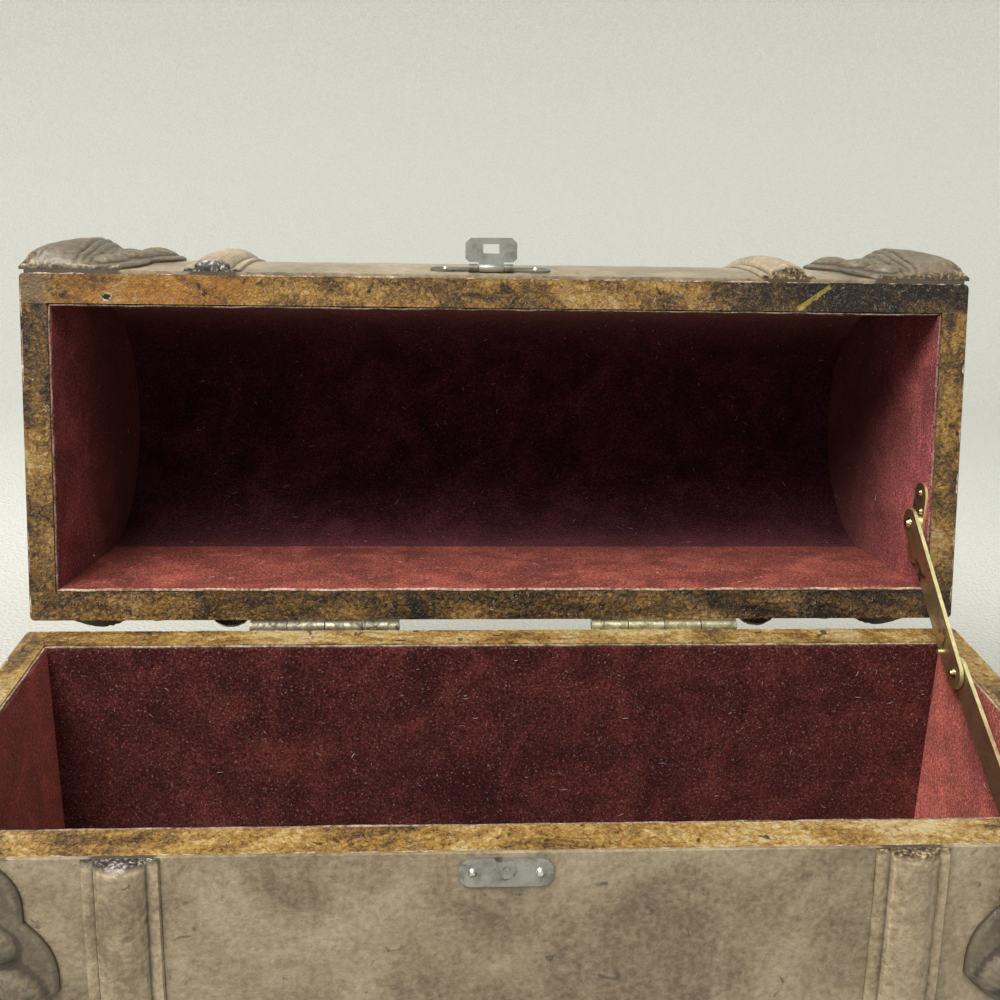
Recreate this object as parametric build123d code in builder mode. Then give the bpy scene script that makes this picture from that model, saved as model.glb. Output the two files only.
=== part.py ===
"""Keepsake box: a small barrel-topped chest, shown with its lid held open.

Frame: origin at the centre of the base underside, +X to the right, +Y to the back, +Z up.
Millimetres. The lid's pieces are drawn on the planes of the closed lid and carried, with
those planes, to where the open lid has them.
"""
import os
from math import cos, degrees, hypot, radians, sin, sqrt

from build123d import *

# ---------------------------------------------------------------- driving dimensions
box_width = 300.0          # outside, left to right
box_depth = 110.0          # outside, front to back
body_height = 128.0        # base to body rim
lid_wall_height = 63.0     # straight part of the lid's front and back
lid_rise = 41.6            # arch of the lid above its straight part
board_thickness = 9.2      # front and back boards
end_thickness = 8.2        # left and right boards
crown_thickness = 3.6      # bent top of the lid
floor_thickness = 11.0
corner_radius = 1.5        # outer upright corners of the boards
lining_thickness = 1.0     # velvet on card
lining_setback = 0.4       # lining edge below the rim
seam_gap = 0.3             # between the two rims when the box is shut
open_angle = 100.2         # lid from shut to where its stay holds it

cover_edge = 1.1           # embossed cover on the front and back, at the rim
cover_bulge = 3.5          # how much further the body's covers swell
cover_crown = 3.4          # cover over the top of the lid
cover_blend = 2.0          # degrees above the crown's centre where front meets top
back_margin = 15.0         # bare board behind the hinge leaves

strap_width = 11.6         # half-round middle of a strap
strap_height = 4.3
flange_width = 3.0         # flat border on either side of it
flange_height = 1.1
strap_gap = 9.2            # strap to the corner mounts
strap_back_start = 22.0    # rim to the strap's end on the back

mount_width = 44.0         # corner mounts, along the front and back
mount_foot = 30.0          # their width at the rim
mount_edge = 1.6           # thickness of their plate
roll_start = 1.5           # corner to the roll, and to its far side
roll_end = 24.0
roll_height = 7.4
roll_brim = 5.2            # height of the roll at a rim
roll_tip = 2.0             # and at its tip
back_relief = 0.6          # the back mounts' height, as a share of the front ones'
mount_rise = 50.0          # height of a mount beside the corner
outline_steps = ((37.0, 15.0), (44.0, 33.0), (25.0, 43.0))     # where its scallops meet
scallop = 2.6              # how far the outline swells between them
lobes = ((26.0, 9.0, 5.6), (30.0, 19.5, 6.4), (34.0, 31.0, 7.4))   # across, up, radius
lobe_height = 3.6
lobe_slope = 2.6           # how far a lobe narrows to its flat top
mount_lap = 1.0            # section drawn below the cover, then trimmed to it
mount_back_start = 28.0    # rim to the mounts on the back, clear of the hinge side

hinge_x = (-56.6, 53.7)    # middles of the two butt hinges
hinge_length = 48.0
hinge_offset = 2.3         # pin axis behind the back boards
knuckle_radius = 2.2
knuckle_gap = 0.3
knuckle_count = 4
hinge_pin_radius = 1.0
leaf_thickness = 0.9
leaf_width = 13.0          # pin axis to a leaf's outer edge
running_clearance = 0.05   # radial, all pins in their knuckles and arms
hinge_screw_spacing = 16.0
hinge_screw_drop = 8.2     # pin axis to the screw line

hasp_x = -4.0
end_rounding = 0.45        # corner radius of a small plate, as a share of its height
hasp_plate_width = 38.6
hasp_plate_height = 7.4
hasp_plate_bottom = 4.6    # lid rim to the plate's lower edge
sheet_thickness = 0.6      # hasp, staple plate
hasp_nail_spacing = 29.0
flap_width = 16.4
flap_height = 6.6
flap_neck = 8.4
flap_chamfer = 1.6
flap_reach = 9.6           # pin axis to the flap's free edge
slot_width = 5.1
slot_height = 2.9
hasp_barrel_length = 14.2
hasp_barrel_radius = 1.3
hasp_pin_radius = 0.5
barrel_lift = 0.1          # barrel clear of the cover
hasp_play = 0.2            # flap knuckle to the plate's knuckles
staple_width = 3.8
staple_thickness = 1.1
staple_reach = 3.0         # staple's tip beyond the flap's pin axis
staple_eye_radius = 0.9
staple_plate_width = 22.0
staple_plate_height = 7.0
staple_plate_drop = 1.0    # body rim to the plate
staple_nail_spacing = 15.6

arm_width = 9.5            # the two arms of the lid stay
arm_thickness = 1.2
arm_gap = 0.3              # between the arms
upper_arm_length = 53.7
lower_arm_length = 45.0
upper_arm_slope = 36.7     # degrees below level, lid open
lower_arm_slope = 30.0
lid_pivot = (24.0, 5.4)    # y, and height above the lid rim, box shut
stay_standoff = 1.4        # lining to the lower arm
rivet_radius = 1.2
rivet_head_radius = 1.9
rivet_head_height = 1.2
rivet_tail_height = 0.8
collar_radius = 2.4
side_play = 0.2            # arm to collar and rivet head
bracket_thickness = 0.8
bracket_width = 8.6
lid_bracket_ends = ((10.5, 5.0), (38.5, 9.6))
lid_bracket_nails = ((13.8, 5.6), (19.9, 4.5), (35.3, 9.2))
body_bracket_length = 30.0
body_bracket_nails = (10.0, 19.0)    # below the pivot
stop_along = 9.0           # elbow to the stop on the upper arm
stop_radius = 0.8
stop_length = 1.0

head_top = 0.55            # a fastener's head is this much narrower on top
nail_head_radius = 1.1
nail_head_height = 0.7
nail_radius = 0.6
nail_depth = 5.0           # point below the board's surface
screw_head_radius = 1.7
screw_head_height = 0.6
screw_radius = 0.8
screw_depth = 6.0

# ---------------------------------------------------------------- worked-out places
half_width = box_width / 2
half_depth = box_depth / 2
lid_rim = body_height + seam_gap
wall_inside = half_depth - board_thickness
end_inside = half_width - end_thickness
lined_y = wall_inside - lining_thickness
lined_x = end_inside - lining_thickness
spring_z = lid_rim + lid_wall_height
strap_x = half_width - mount_width - strap_gap - strap_width / 2
hinge_y = half_depth + hinge_offset
hinge_z = body_height + seam_gap / 2

lid_turn = Location((0, hinge_y, hinge_z), (-open_angle, 0, 0)) * Location((0, -hinge_y, -hinge_z))


def as_drawn(plane):
    """A plane of the body stays where it is."""
    return plane


def on_lid(plane):
    """A plane of the closed lid, carried to the open lid."""
    return Plane(lid_turn * plane.location)


def arch_radius(half_span, rise):
    """Radius of the arc over a span."""
    return (half_span**2 + rise**2) / (2 * rise)


def keep(builder, name):
    """Label a finished piece and write it."""
    builder.part.label = name
    export_step(builder.part, f"parts/{name}.step")


def bore(plane, points, radius, depth):
    """Holes into the piece being built, from a plane on its surface."""
    with BuildSketch(plane) as marks:
        with Locations(*points):
            Circle(radius)
    extrude(marks.sketch, amount=-depth, mode=Mode.SUBTRACT)


def headed_pins(plane, points, head, shank):
    """Nails, screws or rivets: a bevelled head on the plane, a shank below it."""
    head_radius, head_height = head
    shank_radius, shank_length = shank
    with BuildPart(plane) as pins:
        with Locations(*[(x, y, 0) for x, y in points]):
            Cone(
                head_radius, head_radius * head_top, head_height,
                align=(Align.CENTER, Align.CENTER, Align.MIN),
            )
        with BuildSketch(plane):
            with Locations(*points):
                Circle(shank_radius)
        extrude(amount=-shank_length)
    return pins


os.makedirs("parts", exist_ok=True)

# ---------------------------------------------------------------- where fittings go
hinge_screw_marks = [(x + step * hinge_screw_spacing) for x in hinge_x for step in (-1, 0, 1)]
body_leaf_face = Plane(
    origin=(0, half_depth + leaf_thickness, hinge_z), x_dir=(-1, 0, 0), z_dir=(0, 1, 0)
)
body_screw_points = [(-x, -hinge_screw_drop) for x in hinge_screw_marks]
lid_screw_points = [(-x, hinge_screw_drop) for x in hinge_screw_marks]

# the lid's cover: a crown arc over the top, running smoothly into the swollen front and back
crown_outer = arch_radius(half_depth, lid_rise)
crown_centre = spring_z + lid_rise - crown_outer
cover_radius = crown_outer + cover_crown
blend = radians(cover_blend)
blend_y = cover_radius * cos(blend)
blend_z = crown_centre + cover_radius * sin(blend)
cover_foot_y = half_depth + cover_edge
to_foot = (blend_y - cover_foot_y, lid_rim - blend_z)
swell_radius = hypot(*to_foot) ** 2 / (2 * (to_foot[0] * cos(blend) - to_foot[1] * sin(blend)))
swell_centre_y = swell_radius * cos(blend) - blend_y
swell_centre_z = blend_z - swell_radius * sin(blend)


def lid_cover_y(z):
    """How far the lid's front cover stands from the middle plane, at a height."""
    return sqrt(swell_radius**2 - (z - swell_centre_z) ** 2) - swell_centre_y


body_swell_radius = arch_radius(body_height / 2, cover_bulge)


def body_cover_y(z):
    """The same for the body's front cover."""
    rise = sqrt(body_swell_radius**2 - (z - body_height / 2) ** 2)
    return half_depth + cover_edge + cover_bulge - body_swell_radius + rise


hasp_mid_z = lid_rim + hasp_plate_bottom + hasp_plate_height / 2
hasp_mid_y = lid_cover_y(hasp_mid_z)
hasp_out = Vector(0, -(hasp_mid_y + swell_centre_y), hasp_mid_z - swell_centre_z).normalized()
hasp_seat = Plane(origin=(hasp_x, -hasp_mid_y, hasp_mid_z), x_dir=(1, 0, 0), z_dir=hasp_out)
hasp_nail_points = [(-hasp_nail_spacing / 2, 0), (hasp_nail_spacing / 2, 0)]
hasp_barrel_drop = hasp_plate_height / 2 + hasp_barrel_radius / 2
hasp_barrel_rise = hasp_barrel_radius + barrel_lift
hasp_pin_point = hasp_seat.from_local_coords(Vector(0, -hasp_barrel_drop, hasp_barrel_rise))
slot_drop = flap_reach - flap_height / 2
staple_z = hasp_pin_point.Z - slot_drop
staple_mid_z = body_height - staple_plate_height / 2 - staple_plate_drop
staple_seat_y = body_cover_y(staple_mid_z)
staple_out = Vector(0, -sqrt(body_swell_radius**2 - (staple_mid_z - body_height / 2) ** 2),
                    staple_mid_z - body_height / 2).normalized()
staple_seat = Plane(
    origin=(hasp_x, -staple_seat_y, staple_mid_z), x_dir=(1, 0, 0), z_dir=staple_out
)
staple_nail_points = [(-staple_nail_spacing / 2, 0), (staple_nail_spacing / 2, 0)]

# the stay: the lower arm runs next to the right-hand lining, the upper arm inboard of it
lower_arm_x = lined_x - stay_standoff - arm_thickness
upper_arm_x = lower_arm_x - arm_gap - arm_thickness
lid_pivot_closed = Vector(0, lid_pivot[0], lid_rim + lid_pivot[1])
lid_pivot_open = (lid_turn * Location(lid_pivot_closed)).position
upper_run = radians(upper_arm_slope)
lower_run = radians(lower_arm_slope)
elbow = lid_pivot_open - Vector(0, cos(upper_run), sin(upper_run)) * upper_arm_length
body_pivot = elbow - Vector(0, cos(lower_run), sin(lower_run)) * lower_arm_length

pivot_seat = Plane(origin=(lined_x, body_pivot.Y, body_pivot.Z), x_dir=(0, -1, 0), z_dir=(-1, 0, 0))
body_bracket_points = [(0, -drop) for drop in body_bracket_nails]
lid_bracket_seat = Plane(origin=(lined_x, 0, lid_rim), x_dir=(0, -1, 0), z_dir=(-1, 0, 0))
lid_bracket_points = [(-y, z) for y, z in lid_bracket_nails]

# ================================================================ body of the box
# the front and back boards run the full width; the end boards stand between them
for name, side in (("body_front_board", -1), ("body_back_board", 1)):
    with BuildPart() as board:
        with BuildSketch():
            with Locations((0, side * (half_depth - board_thickness / 2))):
                Rectangle(box_width, board_thickness)
            outer = vertices().group_by(Axis.Y)[0 if side < 0 else -1]
            fillet(outer, radius=corner_radius)
        extrude(amount=body_height)
        if side > 0:
            bore(body_leaf_face, body_screw_points, screw_radius, leaf_thickness + screw_depth)
        else:
            bore(staple_seat, staple_nail_points, nail_radius, staple_seat_y - half_depth + nail_depth)
    keep(board, name)

for name, side in (("body_left_board", -1), ("body_right_board", 1)):
    with BuildPart() as board:
        with BuildSketch():
            with Locations((side * (half_width - end_thickness / 2), 0)):
                Rectangle(end_thickness, 2 * wall_inside)
        extrude(amount=body_height)
        if side > 0:
            bore(pivot_seat, body_bracket_points, nail_radius, nail_depth)
    keep(board, name)

with BuildPart() as body_floor_board:
    with BuildSketch():
        Rectangle(2 * end_inside, 2 * wall_inside)
    extrude(amount=floor_thickness)
keep(body_floor_board, "body_floor_board")

# ---------------------------------------------------------------- body lining
lining_top = body_height - lining_setback
for name, side in (("body_front_lining", -1), ("body_back_lining", 1)):
    with BuildPart() as lining:
        with BuildSketch(Plane.XY.offset(floor_thickness)):
            with Locations((0, side * (wall_inside - lining_thickness / 2))):
                Rectangle(2 * end_inside, lining_thickness)
        extrude(amount=lining_top - floor_thickness)
    keep(lining, name)

for name, side in (("body_left_lining", -1), ("body_right_lining", 1)):
    with BuildPart() as lining:
        with BuildSketch(Plane.XY.offset(floor_thickness)):
            with Locations((side * (end_inside - lining_thickness / 2), 0)):
                Rectangle(lining_thickness, 2 * lined_y)
        extrude(amount=lining_top - floor_thickness)
        if side > 0:
            bore(pivot_seat, body_bracket_points, nail_radius, lining_thickness)
    keep(lining, name)

with BuildPart() as body_floor_lining:
    with BuildSketch(Plane.XY.offset(floor_thickness)):
        Rectangle(2 * lined_x, 2 * lined_y)
    extrude(amount=lining_thickness)
keep(body_floor_lining, "body_floor_lining")

# ---------------------------------------------------------------- body covers and straps
body_mid = body_height / 2
body_arc = ((-cover_foot_y, 0), (-(cover_foot_y + cover_bulge), body_mid), (-cover_foot_y, body_height))


def body_cover(side):
    """The cover on the front, side -1, or the back, side 1."""
    foot, middle, brim = [(-side * y, z) for y, z in body_arc]
    with BuildPart() as cover:
        with BuildSketch(Plane.YZ.offset(-half_width + corner_radius)) as outline:
            with BuildLine() as swell:
                ThreePointArc(foot, middle, brim)
                Polyline(brim, (side * half_depth, body_height), (side * half_depth, 0), foot)
            make_face(swell.edges())
        extrude(outline.sketch, amount=box_width - 2 * corner_radius)
    return cover


with BuildPart() as body_front_cover:
    add(body_cover(-1).part)
    bore(staple_seat, staple_nail_points, nail_radius, staple_seat_y - half_depth + nail_depth)
keep(body_front_cover, "body_front_cover")

# the back cover stops below the hinge leaves
with BuildPart() as body_back_cover:
    add(body_cover(1).part)
    split(bisect_by=Plane.XY.offset(body_height - back_margin), keep=Keep.BOTTOM)
keep(body_back_cover, "body_back_cover")


def across_arc(arc):
    """The plane of a section at the start of an arc, its -Y facing out of the box."""
    return Plane(origin=arc @ 0, x_dir=(1, 0, 0), z_dir=arc % 0)


def strap_along(arc):
    """A strap's length over one arc: a half-round middle between two flat borders."""
    reach = strap_width / 2 + flange_width
    with BuildSketch(across_arc(arc)) as section:
        with BuildLine() as outline:
            Polyline((-strap_width / 2, -flange_height), (-reach, -flange_height), (-reach, 0))
            Polyline((-reach, 0), (reach, 0), (reach, -flange_height), (strap_width / 2, -flange_height))
            ThreePointArc(
                (strap_width / 2, -flange_height), (0, -strap_height), (-strap_width / 2, -flange_height)
            )
        make_face(outline.edges())
    turn_along(arc, section.sketch)


def turn_along(arc, section):
    """The section at the start of an arc, turned round the arc's centre to its end."""
    revolve(section, axis=Axis(arc.arc_center, (-1, 0, 0)), revolution_arc=degrees(arc.length / arc.radius))


# each body strap is two lengths, one up the front and one up the back
with BuildPart() as body_strap_left:
    with BuildLine(Plane.YZ.offset(-strap_x)) as front_run:
        ThreePointArc(*body_arc)
    strap_along(front_run.edges()[0])
    mirror(about=Plane.XZ)
    split(bisect_by=Plane.XY, keep=Keep.TOP)
    split(bisect_by=Plane.XY.offset(body_height), keep=Keep.BOTTOM)
    with BuildSketch(Plane.XY.offset(body_height)):
        with Locations((-strap_x, half_depth)):
            Rectangle(box_depth, half_depth)
    extrude(amount=-strap_back_start, mode=Mode.SUBTRACT)
keep(body_strap_left, "body_strap_left")

with BuildPart() as body_strap_right:
    mirror(body_strap_left.part, about=Plane.YZ)
keep(body_strap_right, "body_strap_right")

# ---------------------------------------------------------------- corner mounts


def scalloped(points, side):
    """Arcs from point to point, each swelling by the scallop to one side, added to the line."""
    for start, end in zip(points, points[1:]):
        chord = Vector(*end) - Vector(*start)
        out = Vector(chord.Y, -chord.X).normalized() * side * scallop
        middle = (Vector(*start) + Vector(*end)) / 2 + out
        ThreePointArc(start, (middle.X, middle.Y), end)


def leaf(rim, away):
    """A mount's outline, added to the sketch: it rises away from a rim beside the corner."""
    marks = [(mount_foot, 0), *outline_steps, (0, mount_rise)]
    points = [(-half_width + across, rim + away * up) for across, up in marks]
    with BuildLine() as outline:
        scalloped(points, away)
        Polyline(points[-1], (-half_width, rim), points[0])
    make_face(outline.edges())


def corner_mount(place, cover_arc, cover_y, rims, relief):
    """The left mount of the front: a plate on the cover, a roll beside the corner, and lobes."""
    foot, middle, brim = cover_arc
    low, high = foot[1], brim[1]
    start, end = -half_width + roll_start, -half_width + roll_end
    inner = -half_width + mount_width
    top = relief * roll_height
    rim_sink = relief * (roll_height - roll_brim)
    far_sink = rim_sink if len(rims) > 1 else relief * (roll_height - roll_tip)
    with BuildLine(place(Plane.YZ)) as plate_run:
        ThreePointArc(*cover_arc)
    with BuildLine(place(Plane.YZ)) as roll_run:
        ThreePointArc((foot[0] + rim_sink, low), middle, (brim[0] + far_sink, high))
    with BuildPart() as mount:
        plate_arc = plate_run.edges()[0]
        with BuildSketch(across_arc(plate_arc)) as plate:
            with BuildLine() as outline:
                Polyline(
                    (-half_width, mount_lap), (-half_width, -mount_edge),
                    (inner, -mount_edge), (inner, mount_lap), close=True,
                )
            make_face(outline.edges())
        turn_along(plate_arc, plate.sketch)
        # the roll sinks into the plate towards a rim and its tip
        roll_arc = roll_run.edges()[0]
        with BuildSketch(across_arc(roll_arc)) as roll:
            with BuildLine() as outline:
                ThreePointArc((start, 0), ((start + end) / 2, -top), (end, 0))
                Polyline((end, 0), (end, mount_lap), (start, mount_lap), (start, 0))
            make_face(outline.edges())
        turn_along(roll_arc, roll.sketch)
        for rim, away in rims:
            for across, up, radius in lobes:
                level = rim + away * up
                seat = Plane(
                    origin=(-half_width + across, mount_lap - cover_y(level), level),
                    x_dir=(1, 0, 0), z_dir=(0, -1, 0),
                )
                with Locations(place(seat).location):
                    Cone(
                        radius, radius - lobe_slope, mount_lap + relief * lobe_height,
                        align=(Align.CENTER, Align.CENTER, Align.MIN),
                    )
        # all of it lies in front of the cover, inside the outline
        with BuildSketch(place(Plane.YZ)) as front:
            with BuildLine() as bound:
                ThreePointArc(*cover_arc)
                Polyline(brim, (-box_depth, high), (-box_depth, low), foot)
            make_face(bound.edges())
        extrude(front.sketch, amount=box_width, both=True, mode=Mode.INTERSECT)
        with BuildSketch(place(Plane.XZ)) as scallops:
            for rim, away in rims:
                leaf(rim, away)
            if len(rims) > 1:
                with Locations((-half_width, low)):
                    Rectangle(roll_end, high - low, align=(Align.MIN, Align.MIN))
        extrude(scallops.sketch, amount=box_depth, mode=Mode.INTERSECT)
    return mount


def four_mounts(prefix, place, cover_arc, cover_y, rims, bare_from, keep_side):
    """Mounts on the four corners; those on the back are lower and start further from the rim."""
    front_left = corner_mount(place, cover_arc, cover_y, rims, 1)
    keep(front_left, f"{prefix}_mount_front_left")
    with BuildPart() as front_right:
        mirror(front_left.part, about=Plane.YZ)
    keep(front_right, f"{prefix}_mount_front_right")
    low_relief = corner_mount(place, cover_arc, cover_y, rims, back_relief)
    with BuildPart() as back_left:
        mirror(low_relief.part, about=place(Plane.XZ))
        split(bisect_by=place(Plane.XY.offset(bare_from)), keep=keep_side)
    keep(back_left, f"{prefix}_mount_back_left")
    with BuildPart() as back_right:
        mirror(back_left.part, about=Plane.YZ)
    keep(back_right, f"{prefix}_mount_back_right")


four_mounts(
    "body", as_drawn, body_arc, body_cover_y, ((body_height, -1), (0, 1)),
    body_height - mount_back_start, Keep.BOTTOM,
)

lid_arc_mid = (lid_rim + blend_z) / 2
lid_arc = (
    (-cover_foot_y, lid_rim), (-lid_cover_y(lid_arc_mid), lid_arc_mid), (-blend_y, blend_z)
)
four_mounts(
    "lid", on_lid, lid_arc, lid_cover_y, ((lid_rim, 1),), lid_rim + mount_back_start, Keep.TOP
)

# ================================================================ lid
for name, side in (("lid_front_board", -1), ("lid_back_board", 1)):
    with BuildPart() as board:
        with BuildSketch(on_lid(Plane.XY.offset(lid_rim))):
            with Locations((0, side * (half_depth - board_thickness / 2))):
                Rectangle(box_width, board_thickness)
            outer = vertices().group_by(Axis.Y)[0 if side < 0 else -1]
            fillet(outer, radius=corner_radius)
        extrude(amount=lid_wall_height)
        if side < 0:
            bore(on_lid(hasp_seat), hasp_nail_points, nail_radius, hasp_mid_y - half_depth + nail_depth)
        else:
            bore(on_lid(body_leaf_face), lid_screw_points, screw_radius, leaf_thickness + screw_depth)
    keep(board, name)

# the crown's inside arc springs from the lined boards
crown_inside_rise = lid_rise - crown_thickness
lining_rise = crown_inside_rise - lining_thickness


def arched(half_span, bottom, rise):
    """Outline of the lid's inside, from a level up to its arch, added to the sketch."""
    with BuildLine() as outline:
        ThreePointArc((-half_span, spring_z), (0, spring_z + rise), (half_span, spring_z))
        Polyline((half_span, spring_z), (half_span, bottom), (-half_span, bottom), (-half_span, spring_z))
    make_face(outline.edges())


for name, side in (("lid_left_board", -1), ("lid_right_board", 1)):
    with BuildPart() as board:
        with BuildSketch(on_lid(Plane.YZ.offset(side * end_inside))) as outline:
            arched(wall_inside, lid_rim, crown_inside_rise)
        extrude(outline.sketch, amount=side * end_thickness)
        if side > 0:
            bore(on_lid(lid_bracket_seat), lid_bracket_points, nail_radius, nail_depth)
    keep(board, name)

with BuildPart() as lid_crown:
    with BuildSketch(on_lid(Plane.YZ.offset(-half_width))):
        with BuildLine():
            ThreePointArc((-half_depth, spring_z), (0, spring_z + lid_rise), (half_depth, spring_z))
            Line((half_depth, spring_z), (wall_inside, spring_z))
            ThreePointArc(
                (wall_inside, spring_z), (0, spring_z + crown_inside_rise), (-wall_inside, spring_z)
            )
            Line((-wall_inside, spring_z), (-half_depth, spring_z))
        make_face()
    extrude(amount=box_width)
keep(lid_crown, "lid_crown")

# ---------------------------------------------------------------- lid lining
lining_rim = lid_rim + lining_setback
for name, side in (("lid_front_lining", -1), ("lid_back_lining", 1)):
    with BuildPart() as lining:
        with BuildSketch(on_lid(Plane.XY.offset(lining_rim))):
            with Locations((0, side * (wall_inside - lining_thickness / 2))):
                Rectangle(2 * end_inside, lining_thickness)
        extrude(amount=spring_z - lining_rim)
    keep(lining, name)

for name, side in (("lid_left_lining", -1), ("lid_right_lining", 1)):
    with BuildPart() as lining:
        with BuildSketch(on_lid(Plane.YZ.offset(side * lined_x))) as outline:
            arched(lined_y, lining_rim, lining_rise)
        extrude(outline.sketch, amount=side * lining_thickness)
        if side > 0:
            bore(on_lid(lid_bracket_seat), lid_bracket_points, nail_radius, lining_thickness)
    keep(lining, name)

with BuildPart() as lid_crown_lining:
    with BuildSketch(on_lid(Plane.YZ.offset(-end_inside))):
        with BuildLine():
            ThreePointArc(
                (-wall_inside, spring_z), (0, spring_z + crown_inside_rise), (wall_inside, spring_z)
            )
            Line((wall_inside, spring_z), (lined_y, spring_z))
            ThreePointArc((lined_y, spring_z), (0, spring_z + lining_rise), (-lined_y, spring_z))
            Line((-lined_y, spring_z), (-wall_inside, spring_z))
        make_face()
    extrude(amount=2 * end_inside)
keep(lid_crown_lining, "lid_crown_lining")

# ---------------------------------------------------------------- lid cover and straps
crown_top = crown_centre + cover_radius


def lid_run():
    """The outside of the lid's cover, from rim to rim over the top, added to the line."""
    ThreePointArc(*lid_arc)
    ThreePointArc((-blend_y, blend_z), (0, crown_top), (blend_y, blend_z))
    ThreePointArc(
        (blend_y, blend_z), (lid_cover_y(lid_arc_mid), lid_arc_mid), (cover_foot_y, lid_rim)
    )


with BuildPart() as lid_cover:
    with BuildSketch(on_lid(Plane.YZ.offset(-half_width + corner_radius))):
        with BuildLine():
            lid_run()
            Polyline((cover_foot_y, lid_rim), (half_depth, lid_rim), (half_depth, spring_z))
            ThreePointArc((half_depth, spring_z), (0, spring_z + lid_rise), (-half_depth, spring_z))
            Polyline((-half_depth, spring_z), (-half_depth, lid_rim), (-cover_foot_y, lid_rim))
        make_face()
        # the back stops short of the hinge leaves
        with Locations((half_depth, lid_rim)):
            Rectangle(half_depth, 2 * back_margin, mode=Mode.SUBTRACT)
    extrude(amount=box_width - 2 * corner_radius)
    bore(on_lid(hasp_seat), hasp_nail_points, nail_radius, hasp_mid_y - half_depth + nail_depth)
keep(lid_cover, "lid_cover")

with BuildPart() as lid_strap_left:
    with BuildLine(on_lid(Plane.YZ.offset(-strap_x))) as over_run:
        lid_run()
    for arc in over_run.edges():
        strap_along(arc)
    split(bisect_by=on_lid(Plane.XY.offset(lid_rim)), keep=Keep.TOP)
    with BuildSketch(on_lid(Plane.XY.offset(lid_rim))):
        with Locations((-strap_x, half_depth)):
            Rectangle(box_depth, half_depth)
    extrude(amount=strap_back_start, mode=Mode.SUBTRACT)
keep(lid_strap_left, "lid_strap_left")

with BuildPart() as lid_strap_right:
    mirror(lid_strap_left.part, about=Plane.YZ)
keep(lid_strap_right, "lid_strap_right")

# ================================================================ hinges
knuckle_pitch = hinge_length / knuckle_count


def hinge_leaf(place, middle, away, first):
    """A butt hinge's leaf behind a back board; it holds every second knuckle from the first."""
    start = middle - hinge_length / 2
    outer = hinge_z + away * leaf_width
    clear = hinge_z + away * (knuckle_radius + knuckle_gap)
    with BuildPart() as hinge:
        with BuildSketch(place(Plane.YZ.offset(start + knuckle_gap / 2))) as sheet:
            with BuildLine():
                Polyline(
                    (half_depth, outer), (half_depth + leaf_thickness, outer),
                    (half_depth + leaf_thickness, clear), (half_depth, clear), close=True,
                )
            make_face()
        extrude(sheet.sketch, amount=hinge_length - knuckle_gap)
        for index in range(first, knuckle_count, 2):
            knuckle_start = start + index * knuckle_pitch + knuckle_gap / 2
            with BuildSketch(place(Plane.YZ.offset(knuckle_start))) as knuckle:
                with Locations((hinge_y, hinge_z)):
                    Circle(knuckle_radius)
                with BuildLine() as tongue:
                    Polyline(
                        (half_depth, clear), (half_depth + leaf_thickness, clear),
                        (half_depth + leaf_thickness, hinge_z), (half_depth, hinge_z), close=True,
                    )
                make_face(tongue.edges())
                with Locations((hinge_y, hinge_z)):
                    Circle(hinge_pin_radius + running_clearance, mode=Mode.SUBTRACT)
            extrude(knuckle.sketch, amount=knuckle_pitch - knuckle_gap)
        points = [(-(middle + step * hinge_screw_spacing), away * hinge_screw_drop) for step in (-1, 0, 1)]
        bore(place(body_leaf_face), points, screw_radius, leaf_thickness)
    return hinge


for side_name, middle in zip(("left", "right"), hinge_x):
    body_leaf = hinge_leaf(as_drawn, middle, -1, 0)
    keep(body_leaf, f"hinge_{side_name}_body_leaf")
    lid_leaf = hinge_leaf(on_lid, middle, 1, 1)
    keep(lid_leaf, f"hinge_{side_name}_lid_leaf")
    with BuildPart() as pin:
        with BuildSketch(Plane.YZ.offset(middle - hinge_length / 2)):
            with Locations((hinge_y, hinge_z)):
                Circle(hinge_pin_radius)
        extrude(amount=hinge_length)
        chamfer(pin.edges(), length=hinge_pin_radius / 4)
    keep(pin, f"hinge_{side_name}_pin")

screw = ((screw_head_radius, screw_head_height), (screw_radius, leaf_thickness + screw_depth))
body_hinge_screws = headed_pins(body_leaf_face, body_screw_points, *screw)
keep(body_hinge_screws, "body_hinge_screws")
lid_hinge_screws = headed_pins(on_lid(body_leaf_face), lid_screw_points, *screw)
keep(lid_hinge_screws, "lid_hinge_screws")

# ================================================================ hasp and staple
hasp_hole = hasp_pin_radius + running_clearance
side_knuckle = (hasp_barrel_length - flap_neck) / 2
with BuildPart() as hasp_plate:
    with BuildSketch(on_lid(hasp_seat)):
        RectangleRounded(hasp_plate_width, hasp_plate_height, hasp_plate_height * end_rounding)
        # a notch for the flap's knuckle
        with Locations((0, -hasp_barrel_drop)):
            Rectangle(flap_neck, 2 * (hasp_barrel_radius + knuckle_gap), mode=Mode.SUBTRACT)
    extrude(amount=sheet_thickness)
    bore(on_lid(hasp_seat.offset(sheet_thickness)), hasp_nail_points, nail_radius, sheet_thickness)
    for start in (hasp_x - hasp_barrel_length / 2, hasp_x + hasp_barrel_length / 2 - side_knuckle):
        barrel_plane = Plane(
            origin=(start, hasp_pin_point.Y, hasp_pin_point.Z), x_dir=hasp_seat.y_dir, z_dir=(1, 0, 0)
        )
        with BuildSketch(on_lid(barrel_plane)):
            Circle(hasp_barrel_radius)
            with Locations((hasp_barrel_radius, -hasp_barrel_rise)):
                Rectangle(2 * hasp_barrel_radius, sheet_thickness, align=(Align.CENTER, Align.MIN))
            Circle(hasp_hole, mode=Mode.SUBTRACT)
        extrude(amount=side_knuckle)
keep(hasp_plate, "hasp_plate")

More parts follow.
